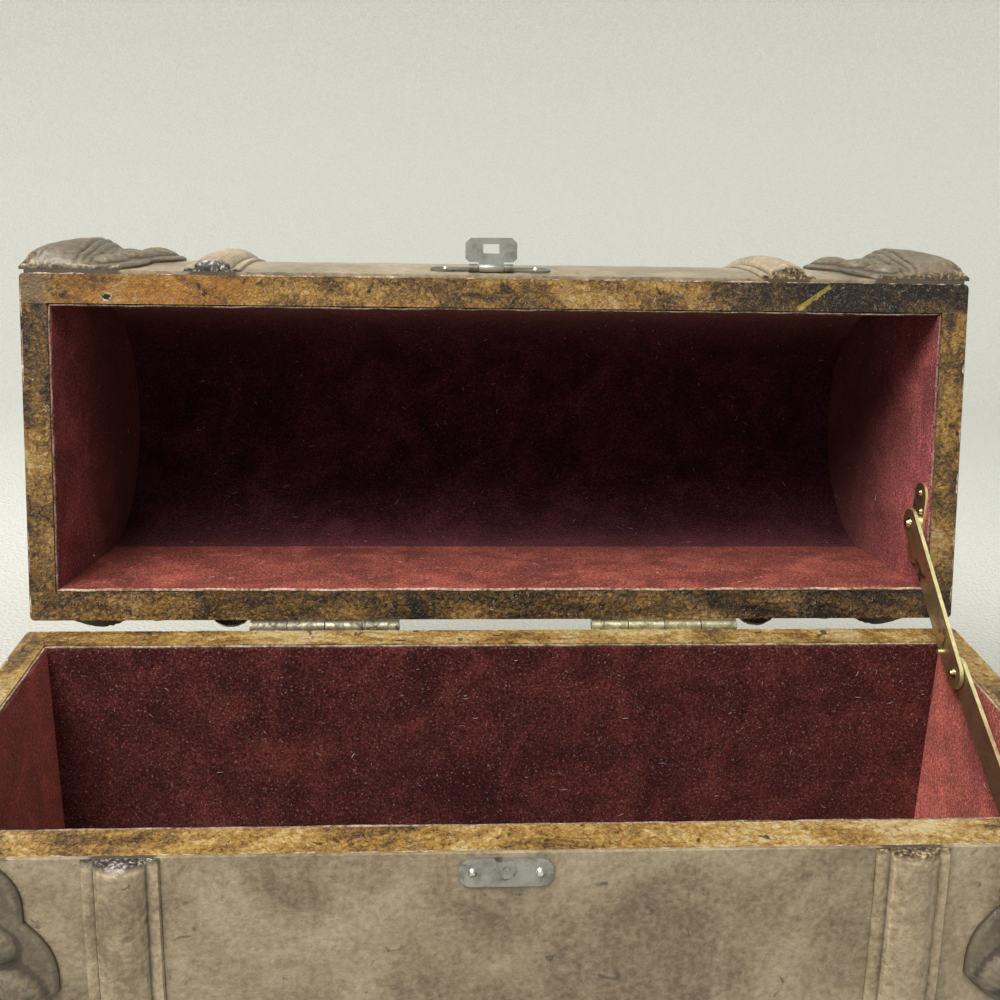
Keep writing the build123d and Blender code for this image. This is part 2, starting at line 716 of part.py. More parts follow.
with BuildPart() as hasp_pin:
    with BuildSketch(on_lid(Plane.YZ.offset(hasp_x - hasp_barrel_length / 2))):
        with Locations((hasp_pin_point.Y, hasp_pin_point.Z)):
            Circle(hasp_pin_radius)
    extrude(amount=hasp_barrel_length)
keep(hasp_pin, "hasp_pin")

# the flap stands straight out from the lid's front
flap_plane = Plane(
    origin=(hasp_x, hasp_pin_point.Y, hasp_pin_point.Z), x_dir=(1, 0, 0), z_dir=(0, 0, -1)
)
knuckle_length = flap_neck - 2 * hasp_play
with BuildPart() as hasp_flap:
    with BuildSketch(on_lid(flap_plane)):
        with Locations((0, flap_reach - flap_height / 2)):
            Rectangle(flap_width, flap_height)
        chamfer(vertices(), length=flap_chamfer)
        Rectangle(knuckle_length, flap_reach - flap_height, align=(Align.CENTER, Align.MIN))
        with Locations((0, slot_drop)):
            Rectangle(slot_width, slot_height, mode=Mode.SUBTRACT)
    extrude(amount=sheet_thickness / 2, both=True)
    with BuildSketch(on_lid(Plane.YZ.offset(hasp_x - knuckle_length / 2))):
        with Locations((hasp_pin_point.Y, hasp_pin_point.Z)):
            Circle(hasp_barrel_radius)
    extrude(amount=knuckle_length)
    with BuildSketch(on_lid(Plane.YZ.offset(hasp_x - knuckle_length / 2))):
        with Locations((hasp_pin_point.Y, hasp_pin_point.Z)):
            Circle(hasp_hole)
    extrude(amount=knuckle_length, mode=Mode.SUBTRACT)
keep(hasp_flap, "hasp_flap")

nail_head = (nail_head_radius, nail_head_height)
hasp_nails = headed_pins(
    on_lid(hasp_seat.offset(sheet_thickness)), hasp_nail_points, nail_head,
    (nail_radius, sheet_thickness + hasp_mid_y - half_depth + nail_depth),
)
keep(hasp_nails, "hasp_nails")

with BuildPart() as staple:
    with BuildSketch(staple_seat):
        RectangleRounded(staple_plate_width, staple_plate_height, staple_plate_height * end_rounding)
    extrude(amount=sheet_thickness)
    bore(staple_seat.offset(sheet_thickness), staple_nail_points, nail_radius, sheet_thickness)
    tongue_tip = -hasp_pin_point.Y + staple_reach
    tongue_root = staple_seat_y + sheet_thickness / 2
    with BuildSketch(Plane.XY.offset(staple_z - staple_thickness / 2)):
        with Locations((hasp_x, -tongue_tip)):
            Rectangle(staple_width, tongue_tip - tongue_root, align=(Align.CENTER, Align.MIN))
        fillet(vertices().group_by(Axis.Y)[0], radius=staple_width * end_rounding)
        with Locations((hasp_x, -tongue_tip + staple_width / 2)):
            Circle(staple_eye_radius, mode=Mode.SUBTRACT)
    extrude(amount=staple_thickness)
keep(staple, "staple")

staple_nails = headed_pins(
    staple_seat.offset(sheet_thickness), staple_nail_points, nail_head,
    (nail_radius, sheet_thickness + staple_seat_y - half_depth + nail_depth),
)
keep(staple_nails, "staple_nails")

# ================================================================ lid stay


def bar(plane, length, width, thickness, holes):
    """A flat bar with round ends, centred on its plane, with holes at places along it."""
    with BuildPart() as flat:
        with BuildSketch(plane) as outline:
            SlotCenterToCenter(length, width)
            for along, radius in holes:
                with Locations((along, 0)):
                    Circle(radius, mode=Mode.SUBTRACT)
        extrude(outline.sketch, amount=thickness)
    return flat


pivot_hole = rivet_radius + running_clearance
upper_plane = Plane(
    origin=(upper_arm_x, (lid_pivot_open.Y + elbow.Y) / 2, (lid_pivot_open.Z + elbow.Z) / 2),
    x_dir=lid_pivot_open - elbow, z_dir=(1, 0, 0),
)
plain_upper_arm = bar(
    upper_plane, upper_arm_length, arm_width, arm_thickness,
    ((upper_arm_length / 2, pivot_hole), (-upper_arm_length / 2, rivet_radius)),
)
with BuildPart() as stay_upper_arm:
    add(plain_upper_arm.part)
    # the stop stands on the lower edge, a little above the elbow
    with BuildSketch(upper_plane):
        with Locations((stop_along - upper_arm_length / 2, stop_radius - arm_width / 2)):
            Circle(stop_radius)
    extrude(amount=-stop_length)
keep(stay_upper_arm, "stay_upper_arm")

lower_plane = Plane(
    origin=(lower_arm_x, (body_pivot.Y + elbow.Y) / 2, (body_pivot.Z + elbow.Z) / 2),
    x_dir=elbow - body_pivot, z_dir=(1, 0, 0),
)
stay_lower_arm = bar(
    lower_plane, lower_arm_length, arm_width, arm_thickness,
    ((lower_arm_length / 2, rivet_radius), (-lower_arm_length / 2, pivot_hole)),
)
keep(stay_lower_arm, "stay_lower_arm")

head = (rivet_head_radius, rivet_head_height)
inboard = Plane(origin=(upper_arm_x, elbow.Y, elbow.Z), x_dir=(0, -1, 0), z_dir=(-1, 0, 0))
elbow_rivet_head = headed_pins(inboard, [(0, 0)], head, (rivet_radius, arm_thickness))
keep(elbow_rivet_head, "elbow_rivet_head")

outboard = Plane(
    origin=(lower_arm_x + arm_thickness, elbow.Y, elbow.Z), x_dir=(0, 1, 0), z_dir=(1, 0, 0)
)
elbow_rivet_tail = headed_pins(
    outboard, [(0, 0)], (rivet_head_radius, rivet_tail_height), (rivet_radius, arm_thickness)
)
keep(elbow_rivet_tail, "elbow_rivet_tail")


def bracket(plane, length, pivot, nails, boss_height):
    """A bracket plate on the lining, with a boss that holds an arm's rivet."""
    with BuildPart() as plate:
        with BuildSketch(plane):
            SlotCenterToCenter(length - bracket_width, bracket_width)
        extrude(amount=bracket_thickness)
        with BuildSketch(plane.offset(bracket_thickness)):
            with Locations(pivot):
                Circle(collar_radius)
        extrude(amount=boss_height)
        boss_top = bracket_thickness + boss_height
        bore(plane.offset(boss_top), [pivot], rivet_radius, boss_top)
        bore(plane.offset(bracket_thickness), nails, nail_radius, bracket_thickness)
    return plate


def lengthwise(start, end):
    """The plane of a plate on the right-hand lining, facing the inside, its X along the plate."""
    return Plane(
        origin=(lined_x, (start.Y + end.Y) / 2, (start.Z + end.Z) / 2),
        x_dir=start - end, z_dir=(-1, 0, 0),
    )


def on_plate(plane, points):
    """Points of the right-hand lining, given by y and z, in a plate's own directions."""
    local = [plane.to_local_coords(Vector(lined_x, y, z)) for y, z in points]
    return [(point.X, point.Y) for point in local]


bracket_face = lined_x - bracket_thickness
lid_low, lid_high = [Vector(0, y, lid_rim + z) for y, z in lid_bracket_ends]
lid_plate_plane = lengthwise(lid_low, lid_high)
lid_pivot_mark = (lid_pivot_closed.Y, lid_pivot_closed.Z)
lid_nail_marks = [(y, lid_rim + z) for y, z in lid_bracket_nails]
stay_lid_bracket = bracket(
    on_lid(lid_plate_plane), (lid_high - lid_low).length,
    on_plate(lid_plate_plane, [lid_pivot_mark])[0], on_plate(lid_plate_plane, lid_nail_marks),
    bracket_face - upper_arm_x - arm_thickness - side_play,
)
keep(stay_lid_bracket, "stay_lid_bracket")

body_high = Vector(0, body_pivot.Y, body_pivot.Z + bracket_width / 2)
body_low = body_high - Vector(0, 0, body_bracket_length)
body_plate_plane = lengthwise(body_high, body_low)
body_nail_marks = [(body_pivot.Y, body_pivot.Z - drop) for drop in body_bracket_nails]
stay_body_bracket = bracket(
    body_plate_plane, body_bracket_length,
    on_plate(body_plate_plane, [(body_pivot.Y, body_pivot.Z)])[0],
    on_plate(body_plate_plane, body_nail_marks),
    bracket_face - lower_arm_x - arm_thickness - side_play,
)
keep(stay_body_bracket, "stay_body_bracket")

stay_nail = (nail_radius, bracket_thickness + nail_depth)
stay_lid_nails = headed_pins(
    on_lid(lid_bracket_seat.offset(bracket_thickness)), lid_bracket_points, nail_head, stay_nail
)
keep(stay_lid_nails, "stay_lid_bracket_nails")
stay_body_nails = headed_pins(
    pivot_seat.offset(bracket_thickness), body_bracket_points, nail_head, stay_nail
)
keep(stay_body_nails, "stay_body_bracket_nails")

lid_rivet_plane = Plane(
    origin=(upper_arm_x - side_play, lid_pivot_closed.Y, lid_pivot_closed.Z),
    x_dir=(0, -1, 0), z_dir=(-1, 0, 0),
)
lid_rivet = headed_pins(
    on_lid(lid_rivet_plane), [(0, 0)], head, (rivet_radius, lined_x - upper_arm_x + side_play)
)
keep(lid_rivet, "stay_lid_rivet")

body_rivet_plane = Plane(
    origin=(lower_arm_x - side_play, body_pivot.Y, body_pivot.Z),
    x_dir=(0, -1, 0), z_dir=(-1, 0, 0),
)
body_rivet = headed_pins(
    body_rivet_plane, [(0, 0)], (rivet_head_radius, rivet_tail_height),
    (rivet_radius, lined_x - lower_arm_x + side_play),
)
keep(body_rivet, "stay_body_rivet")
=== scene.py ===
import random
from math import asin, atan2, copysign, cos, exp, hypot, inf, pi, radians, sin, sqrt

import bmesh
import bpy
from mathutils import Euler, Matrix, Vector, noise


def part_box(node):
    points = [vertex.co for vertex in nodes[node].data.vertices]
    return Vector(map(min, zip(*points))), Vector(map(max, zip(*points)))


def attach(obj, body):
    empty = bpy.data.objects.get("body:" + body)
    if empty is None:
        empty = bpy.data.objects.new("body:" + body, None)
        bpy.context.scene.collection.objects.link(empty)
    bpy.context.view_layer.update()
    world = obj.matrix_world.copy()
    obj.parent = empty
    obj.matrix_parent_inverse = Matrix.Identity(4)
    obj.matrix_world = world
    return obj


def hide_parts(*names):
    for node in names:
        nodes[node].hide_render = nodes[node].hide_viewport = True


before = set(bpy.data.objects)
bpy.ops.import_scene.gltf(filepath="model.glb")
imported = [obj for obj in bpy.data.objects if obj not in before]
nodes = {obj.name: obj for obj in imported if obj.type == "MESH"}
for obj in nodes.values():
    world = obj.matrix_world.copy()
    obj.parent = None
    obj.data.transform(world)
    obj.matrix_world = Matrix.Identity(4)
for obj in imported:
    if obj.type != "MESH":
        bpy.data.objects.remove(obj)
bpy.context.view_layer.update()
MM = 0.001


# -------- node helpers
finish_of = {}  # each material, by its name


class Nodes:
    """A material's node tree, with short calls for the nodes used here."""

    def __init__(self, name):
        self.material = finish_of[name] = bpy.data.materials.new(name)
        self.material.use_nodes = True
        self.tree = self.material.node_tree
        self.tree.nodes.clear()
        self.output = self.add("ShaderNodeOutputMaterial")
        self.shader = self.add("ShaderNodeBsdfPrincipled")
        self.link(self.shader.outputs[0], self.output.inputs[0])
        self.coords = self.add("ShaderNodeTexCoord").outputs["Object"]

    def add(self, kind, **values):
        node = self.tree.nodes.new(kind)
        for key, value in values.items():
            setattr(node, key, value)
        return node

    def link(self, source, target):
        self.tree.links.new(source, target)

    def put(self, socket, value):
        if isinstance(value, bpy.types.NodeSocket):
            self.link(value, socket)
        elif isinstance(value, tuple) and len(value) == 3 and socket.type == "RGBA":
            socket.default_value = (*value, 1)
        else:
            socket.default_value = value

    def noise(self, scale, detail=3.0, roughness=0.55, distortion=0.0, stretch=None):
        vector = self.coords
        if stretch:
            mapping = self.add("ShaderNodeMapping")
            self.link(vector, mapping.inputs["Vector"])
            mapping.inputs["Scale"].default_value = stretch
            vector = mapping.outputs[0]
        node = self.add("ShaderNodeTexNoise")
        self.link(vector, node.inputs["Vector"])
        given = {"Scale": scale, "Detail": detail, "Roughness": roughness, "Distortion": distortion}
        for key, value in given.items():
            node.inputs[key].default_value = value
        return node.outputs["Fac"]

    def ramp(self, value, *stops):
        node = self.add("ShaderNodeValToRGB")
        self.put(node.inputs[0], value)
        elements = node.color_ramp.elements
        while len(elements) < len(stops):
            elements.new(0.5)
        for element, (position, colour) in zip(elements, stops):
            element.position = position
            element.color = (*colour, 1)
        return node.outputs[0]

    def laid(self, colour, tone, *amounts):
        """A colour with a tone laid over it, by all the amounts multiplied."""
        factor = amounts[0]
        for amount in amounts[1:]:
            factor = self.math("MULTIPLY", factor, amount)
        node = self.add("ShaderNodeMix", data_type="RGBA")
        for index, value in ((0, factor), (6, colour), (7, tone)):
            self.put(node.inputs[index], value)
        return node.outputs[2]

    def math(self, operation, a, b=0.0, kind="ShaderNodeMath"):
        node = self.add(kind, operation=operation)
        self.put(node.inputs[0], a)
        self.put(node.inputs[1], b)
        return node.outputs[0]

    def attribute(self, name):
        """A value kept with the mesh's points, 0 where the mesh has none."""
        return self.add("ShaderNodeAttribute", attribute_name=name).outputs["Fac"]

    def axis(self, name):
        """X, Y or Z of the place on the box, in metres."""
        node = self.add("ShaderNodeSeparateXYZ")
        self.link(self.coords, node.inputs[0])
        return node.outputs[name]

    def span(self, value, low, high, to_low=0.0, to_high=1.0):
        """A value carried smoothly from one range to another, and held at its ends."""
        node = self.add("ShaderNodeMapRange", interpolation_type="SMOOTHSTEP")
        for socket, given in zip(node.inputs, (value, low, high, to_low, to_high)):
            self.put(socket, given)
        return node.outputs[0]

    def total(self, *weighted):
        """The sum of values, each with its weight."""
        result = 0.0
        for value, weight in weighted:
            result = self.math("ADD", self.math("MULTIPLY", value, weight), result)
        return result

    def bump(self, height, distance, strength=1.0):
        node = self.add("ShaderNodeBump")
        node.inputs["Strength"].default_value = strength
        node.inputs["Distance"].default_value = distance
        self.put(node.inputs["Height"], height)
        return node.outputs[0]

    def finish(self, colour, roughness, normal=None, **constants):
        """Colour, roughness and bump on the shader, and its other sockets as constants."""
        self.put(self.shader.inputs["Base Color"], colour)
        self.put(self.shader.inputs["Roughness"], roughness)
        if normal:
            self.link(normal, self.shader.inputs["Normal"])
        for name, value in constants.items():
            socket = self.shader.inputs[name.replace("_", " ").title().replace("Ior", "IOR")]
            socket.default_value = value


# -------- materials
LACQUER_TONES = (
    (0.20, (0.014, 0.010, 0.008)),
    (0.34, (0.060, 0.034, 0.015)),
    (0.46, (0.15, 0.078, 0.024)),
    (0.57, (0.30, 0.158, 0.038)),
    (0.70, (0.44, 0.27, 0.075)),
    (0.84, (0.60, 0.47, 0.25)),
)
SOOT, DUST, CORNER_GREY = (0.012, 0.009, 0.008), (0.33, 0.26, 0.18), (0.15, 0.11, 0.075)
ORANGE, GOLD_PAINT = (0.42, 0.155, 0.022), (0.42, 0.30, 0.07)
PAINTED_GLINT, FLECK, SCRATCH = (0.60, 0.46, 0.26), (0.74, 0.64, 0.46), (0.62, 0.50, 0.33)
GRAIN_X, GRAIN_Y, GRAIN_Z = (0.4, 1, 1), (1, 0.4, 1), (1, 1, 0.4)
# Where along the box, in metres, these finishes of the lid's front begin and are full.
DARK_FROM_TO, CORNER_FROM_TO = (0.07, 0.12), (-0.139, -0.145)
ORANGE_LEFT, ORANGE_RIGHT = (-0.142, -0.136), (-0.07, -0.085)
# A stroke's place along and up, its slope, and its half length and half width.
GOLD_STROKE = ((0.0995, 0.2338), 0.62, 0.0068, 0.0009)


def tinted(colour, light, cool=1.0):
    """A colour made lighter or darker, with its blue part changed once more."""
    red, green, blue = colour
    return red * light, green * light, blue * light * cool


def orange_end(n, colour, across, flames, mottle, amount):
    """Orange streaks near a board's left end, and its grey corner."""
    streaks = n.span(flames, 0.40, 0.56, 0.15, amount)
    colour = n.laid(colour, ORANGE, n.span(across, *ORANGE_LEFT), n.span(across, *ORANGE_RIGHT), streaks)
    blotches = n.span(mottle, 0.35, 0.6, 0.35, 0.9)
    return n.laid(colour, CORNER_GREY, n.span(across, *CORNER_FROM_TO), blotches)


def weathered_with_painted_glints(n, colour, patches, mottle):
    """The colour with dust, painted glints of highlight, pits, flecks and scratches, and the scratches
    by themselves.
    """
    colour = n.laid(colour, DUST, n.span(patches, 0.52, 0.66), n.span(mottle, 0.40, 0.60), 0.3)
    # Pale specks that stand for glints on the gloss: painted highlights.
    colour = n.laid(colour, PAINTED_GLINT, n.span(n.noise(1400, 3, 0.7, 1.0), 0.60, 0.68), 0.32)
    colour = n.laid(colour, SOOT, n.span(n.noise(240, 2, 0.5, 0.6), 0.36, 0.30), 0.8)
    colour = n.laid(colour, FLECK, n.span(n.noise(950, 4, 0.75, 2.2), 0.63, 0.69), 0.85)
    line = n.math("ABSOLUTE", n.math("SUBTRACT", n.noise(120, 3, 0.6, 2.4), 0.5))
    broken = n.span(n.noise(170, 3, 0.6), 0.54, 0.60)
    scratch = n.math("MULTIPLY", n.span(line, 0.010, 0.004), broken)
    return n.laid(colour, SCRATCH, scratch, 0.75), scratch


def brush_stroke(n, colour, across, mottle, place, slope, half_length, half_width):
    """A stroke of gold paint on a board, in metres."""
    dx, dz = n.math("SUBTRACT", across, place[0]), n.math("SUBTRACT", n.axis("Z"), place[1])
    along = n.total((dx, cos(slope)), (dz, sin(slope)))
    aside = n.total((dx, -sin(slope)), (dz, cos(slope)))
    aside = n.math("ADD", aside, n.math("MULTIPLY", n.math("SUBTRACT", mottle, 0.5), 0.002))
    within = n.span(n.math("ABSOLUTE", aside), half_width, half_width * 0.6)
    reach = n.span(n.math("ABSOLUTE", along), half_length, half_length * 0.85)
    return n.laid(colour, GOLD_PAINT, within, reach, n.span(mottle, 0.35, 0.55, 0.45, 0.85))


def lacquer(
    name, seed, shift=0.0, dark_right=0.0, orange_left=0.0, crinkle=0.3, stroke=None, grain=GRAIN_X
):
    """Mottled amber lacquer with worn, dusty and blackened patches, drawn out along the grain."""
    n = Nodes(name)
    n.coords = n.math("ADD", n.coords, (seed, seed, 0), "ShaderNodeVectorMath")
    flames = n.noise(105, 6, 0.62, 1.3, grain)
    patches = n.noise(30, 3, 0.55, 0.8)
    mottle = n.noise(760, 4, 0.7, 0.8)
    weights = (0.95, 0.75, 1.0)
    tone = n.total(*zip((flames, patches, mottle), weights))
    tone = n.math("ADD", tone, 0.5 - sum(weights) / 2 + shift)
    across = n.math("SUBTRACT", n.axis("X"), seed)
    if dark_right:
        edge = n.math("ADD", across, n.math("MULTIPLY", patches, 0.05))
        tone = n.math("SUBTRACT", tone, n.span(edge, *DARK_FROM_TO, 0.0, dark_right))
    colour = n.ramp(tone, *LACQUER_TONES)
    if orange_left:
        colour = orange_end(n, colour, across, flames, mottle, orange_left)
    colour, scratch = weathered_with_painted_glints(n, colour, patches, mottle)
    if stroke:
        colour = brush_stroke(n, colour, across, mottle, *stroke)
    height = n.total((mottle, 0.5), (n.noise(330, 5, 0.62, 0.8), crinkle), (scratch, 0.4))
    n.finish(
        colour, n.span(patches, 0.35, 0.65, 0.26, 0.44), n.bump(height, 0.0015, 1.0),
        specular_ior_level=0.24, coat_weight=0.12, coat_roughness=0.12,
    )


RELIEF_TONES = ((0.38, (0.15, 0.105, 0.062)), (0.5, (0.28, 0.215, 0.135)), (0.64, (0.42, 0.345, 0.235)))
# The groove tone is painted shade; the worn tone and the stains are the relief's own colour.
RELIEF_GROOVE_SHADE, RELIEF_WORN, STAIN = (0.055, 0.040, 0.028), (0.52, 0.42, 0.27), (0.05, 0.035, 0.025)
SILVER_GRIT = ((0.44, (0.018, 0.014, 0.014)), (0.56, (0.10, 0.085, 0.08)), (0.66, (0.62, 0.58, 0.52)))
GOLD_GRIT = ((0.42, (0.030, 0.018, 0.010)), (0.53, (0.19, 0.12, 0.045)), (0.66, (0.58, 0.45, 0.24)))


def relief(name, light):
    """Satin khaki of the embossed cover, straps and mounts: painted shade in grooves and on side faces,
    worn on crests.
    """
    n = Nodes(name)
    broad = n.noise(34, 4, 0.6, 0.7)
    fine = n.noise(640, 4, 0.66)
    tones = [(at, tinted(colour, light)) for at, colour in RELIEF_TONES]
    colour = n.ramp(n.total((broad, 0.6), (fine, 0.4)), *tones)
    crest = n.attribute("crest")
    # Painted shade: grooves, and side faces where crest is below zero, are darkened.
    colour = n.laid(colour, RELIEF_GROOVE_SHADE, n.span(crest, -0.05, -0.75, 0.0, 0.9))
    rubbed = n.span(fine, 0.42, 0.6, 0.2, 0.8)
    colour = n.laid(colour, tinted(RELIEF_WORN, light), n.span(crest, 0.05, 0.8), rubbed)
    grit = n.noise(820, 3, 0.7, 0.4)
    broken = n.laid(n.ramp(grit, *SILVER_GRIT), n.ramp(grit, *GOLD_GRIT), n.attribute("gilt"))
    colour = n.laid(colour, broken, n.attribute("raw"))
    colour = n.laid(colour, STAIN, n.span(n.noise(150, 4, 0.6, 1.0), 0.36, 0.28), 0.7)
    bump = n.bump(n.total((fine, 0.7), (grit, 0.5)), 0.0005, 0.6)
    roughness = n.span(broad, 0.35, 0.65, 0.30, 0.46)
    n.finish(colour, roughness, bump, coat_weight=0.15, coat_roughness=0.3)


VELVET_TONES = (
    (0.39, (0.012, 0.003, 0.004)),
    (0.50, (0.050, 0.010, 0.010)),
    (0.61, (0.16, 0.040, 0.034)),
)
VELVET_SPECK, VELVET_DEEP_SHADE = (0.60, 0.38, 0.34), (0.016, 0.006, 0.010)


def velvet(name, painted_light, cool=1.0, sheen=1.0, specks=0.5, deep_shade=None):
    """Burgundy velvet: dark seen straight on, bright along the pile; its second argument brightens or
    darkens the colour as painted light, and it gets painted shade, darker where it lies deep.
    """
    n = Nodes(name)
    nap = n.noise(60, 5, 0.6, 0.7)
    pile = n.noise(1300, 4, 0.75, 0.6)
    tones = [(at, tinted(colour, painted_light, cool)) for at, colour in VELVET_TONES]
    colour = n.ramp(n.total((nap, 0.3), (pile, 0.7)), *tones)
    colour = n.laid(colour, VELVET_SPECK, n.span(n.noise(1500, 2, 0.5, 0.4), 0.64, 0.69), specks)
    # Painted shade: darker deeper into the lid, along Y.
    if deep_shade:
        colour = n.laid(colour, VELVET_DEEP_SHADE, n.span(n.axis("Y"), *deep_shade, 0.0, 0.8))
    n.finish(
        colour, 0.92, n.bump(pile, 0.0005, 0.7),
        sheen_weight=sheen, sheen_roughness=0.36, sheen_tint=(0.95, 0.36, 0.29, 1),
        specular_ior_level=0.10,
    )


CARD_TONES = ((0.40, (0.12, 0.065, 0.035)), (0.50, (0.42, 0.29, 0.19)), (0.60, (0.76, 0.61, 0.47)))


def card(name, light):
    """Worn edges of card and bare wood."""
    n = Nodes(name)
    fibre = n.noise(900, 4, 0.7, 0.5)
    tones = [(at, tinted(colour, light)) for at, colour in CARD_TONES]
    colour = n.ramp(n.total((fibre, 0.6), (n.noise(130, 3, 0.6), 0.4)), *tones)
    n.finish(colour, 0.8, n.bump(fibre, 0.0004, 0.8))


def lint():
    """Pale fibres caught on the velvet."""
    n = Nodes("lint")
    colour = n.ramp(n.noise(200, 2), (0.4, (0.50, 0.34, 0.31)), (0.6, (0.80, 0.72, 0.68)))
    n.finish(colour, 0.85, sheen_weight=0.3, sheen_roughness=0.5)


GRIME = (0.05, 0.04, 0.03)


def metal(name, dark, bright, roughness, grain=300, wear=0.0, polish_and_edge_highlight=None):
    """A worn metal with stains, dirt and fine scratches, and where given a lighter tone on its thin
    edges, partly polish and partly painted highlight.
    """
    n = Nodes(name)
    stain = n.noise(grain, 5, 0.65, 0.5)
    colour = n.ramp(stain, (0.36, dark), (0.60, bright))
    scratches = n.noise(1100, 3, 0.6, 0.2, (1, 0.12, 1))
    colour = n.laid(colour, bright, n.span(scratches, 0.56, 0.66, 0.0, 0.5))
    colour = n.laid(colour, GRIME, n.span(n.noise(grain * 0.5, 4, 0.7, 0.8), 0.42, 0.32, 0.0, 0.85))
    # Faces not turned along X, the thin edges, get the lighter tone: partly polish, partly painted
    # highlight.
    if polish_and_edge_highlight:
        facing = n.add("ShaderNodeSeparateXYZ")
        n.link(n.add("ShaderNodeNewGeometry").outputs["True Normal"], facing.inputs[0])
        edge = n.span(n.math("ABSOLUTE", facing.outputs["X"]), 0.5, 0.2)
        colour = n.laid(colour, polish_and_edge_highlight, edge, 0.9)
    n.finish(
        colour, n.span(stain, 0.35, 0.65, roughness + 0.16, roughness), n.bump(scratches, 0.00015, 0.6),
        metallic=1.0 - wear,
    )


lacquer("lacquer", 0.0, -0.02, crinkle=0.25)
lacquer("lacquer_body_end", 9.1, 0.10, crinkle=0.4, grain=GRAIN_Y)
lacquer("lacquer_lid_front", 2.0, 0.02, dark_right=0.26, orange_left=0.5, stroke=GOLD_STROKE)
lacquer("lacquer_lid_back", 3.7, -0.10, dark_right=0.07, crinkle=1.5)
lacquer("lacquer_lid_end", 5.1, -0.02, crinkle=0.8, grain=GRAIN_Z)
lacquer("lacquer_body", 7.3, 0.13, crinkle=0.4)
relief("cover", 1.1)
relief("strap", 1.4)
relief("mount", 0.45)
# Lit and shaded copies of one velvet: the second number is painted light, brighter where a lining is lit
# and darker where it lies in shade, with a cooler tint in the shaded lid.
velvet("velvet", 0.86, 1.9, 0.8, specks=0.12)
velvet("velvet_lid_end", 4.5, 1.2, 0.36, deep_shade=(0.075, 0.14))
velvet("velvet_body", 1.5)
velvet("velvet_ledge", 3.7, 0.8, 0.36)
velvet("velvet_right", 6.0, 0.9, 0.6)
velvet("velvet_left", 6.2, 0.9, 1.0)
card("card_pale", 1.0)
card("card_worn", 0.5)
card("bare_wood", 0.68)
lint()
metal("brass", (0.46, 0.31, 0.12), (0.88, 0.73, 0.42), 0.22)
# The stay's lighter edge tone is partly polish, partly painted highlight.
metal("stay", (0.42, 0.31, 0.16), (0.70, 0.58, 0.36), 0.38, 240, polish_and_edge_highlight=(0.98, 0.87, 0.47))
metal("pewter", (0.15, 0.135, 0.09), (0.44, 0.42, 0.32), 0.42, 420)
# Shaded and lit copies of the pewter for the left and right hinges: painted light.
metal("pewter_shaded", (0.11, 0.10, 0.07), (0.33, 0.31, 0.235), 0.46, 420)
metal("pewter_lit", (0.24, 0.215, 0.13), (0.62, 0.57, 0.38), 0.38, 420)
# Near black: painted shade inside the knot hole.
metal("hollow", (0.008, 0.006, 0.005), (0.02, 0.015, 0.012), 0.8, wear=1.0)
metal("steel", (0.20, 0.195, 0.18), (0.37, 0.365, 0.33), 0.40, 160, wear=0.25)
metal("plate", (0.09, 0.085, 0.07), (0.23, 0.215, 0.175), 0.42, 160, wear=0.3)
metal("nail", (0.40, 0.39, 0.34), (0.74, 0.72, 0.64), 0.30, 300)

FINISH_BY_NAME = {
    "hasp_plate": "plate", "hasp_nails": "nail", "staple_nails": "nail", "staple": "steel",
    "lid_front_board": "lacquer_lid_front", "lid_back_board": "lacquer_lid_back",
    "lid_left_board": "lacquer_lid_end", "lid_right_board": "lacquer_lid_end",
    "body_left_board": "lacquer_body_end", "body_right_board": "lacquer_body_end",
}


def finish_for(name):
    """The finish of a CAD node, by its name."""
    if name in FINISH_BY_NAME:
        return FINISH_BY_NAME[name]
    if name.endswith(("_arm", "_bracket")):
        return "stay"
    if name.startswith(("stay", "elbow")) or name.endswith("_nails"):
        return "brass"
    if "hinge" in name:
        # The left hinge gets the shaded copy and the right one the lit copy: painted light.
        return {"left": "pewter_shaded", "right": "pewter_lit"}.get(name.split("_")[1], "pewter")
    if name.startswith("hasp"):
        return "steel"
    if "lining" in name:
        return "velvet"
    for kind in ("mount", "strap", "cover"):
        if kind in name:
            return kind
    return "lacquer_body" if name.startswith("body") else "lacquer"


for name, node in nodes.items():
    node.data.materials.clear()
    node.data.materials.append(finish_of[finish_for(name)])

# -------- where things are, in millimetres
HALF_WIDTH, HALF_DEPTH, BODY_HEIGHT = 150, 55, 128
LID_RIM, LID_WALL, LID_RISE = 128.3, 63, 41.6
HINGE_Y, HINGE_Z, OPEN_ANGLE = 57.3, 128.15, radians(100.2)
COVER_FOOT, BODY_BULGE, COVER_CROWN, COVER_BLEND = 56.1, 3.5, 3.4, radians(2)
COVER_END, BACK_MARGIN = 148.5, 15
SIDES = ((-1, "left"), (1, "right"))
LID_TURN = (
    Matrix.Translation((0, HINGE_Y, HINGE_Z))
    @ Matrix.Rotation(-OPEN_ANGLE, 4, "X")
    @ Matrix.Translation((0, -HINGE_Y, -HINGE_Z))
)
TURNS = {"lid": LID_TURN}
BODY_OF = {"body": "chest", "lid": "lid", "hasp": "hasp_flap"}


def near(angle, other):
    """The same angle, within half a turn of the other."""
    return angle - 2 * pi * round((angle - other) / (2 * pi))


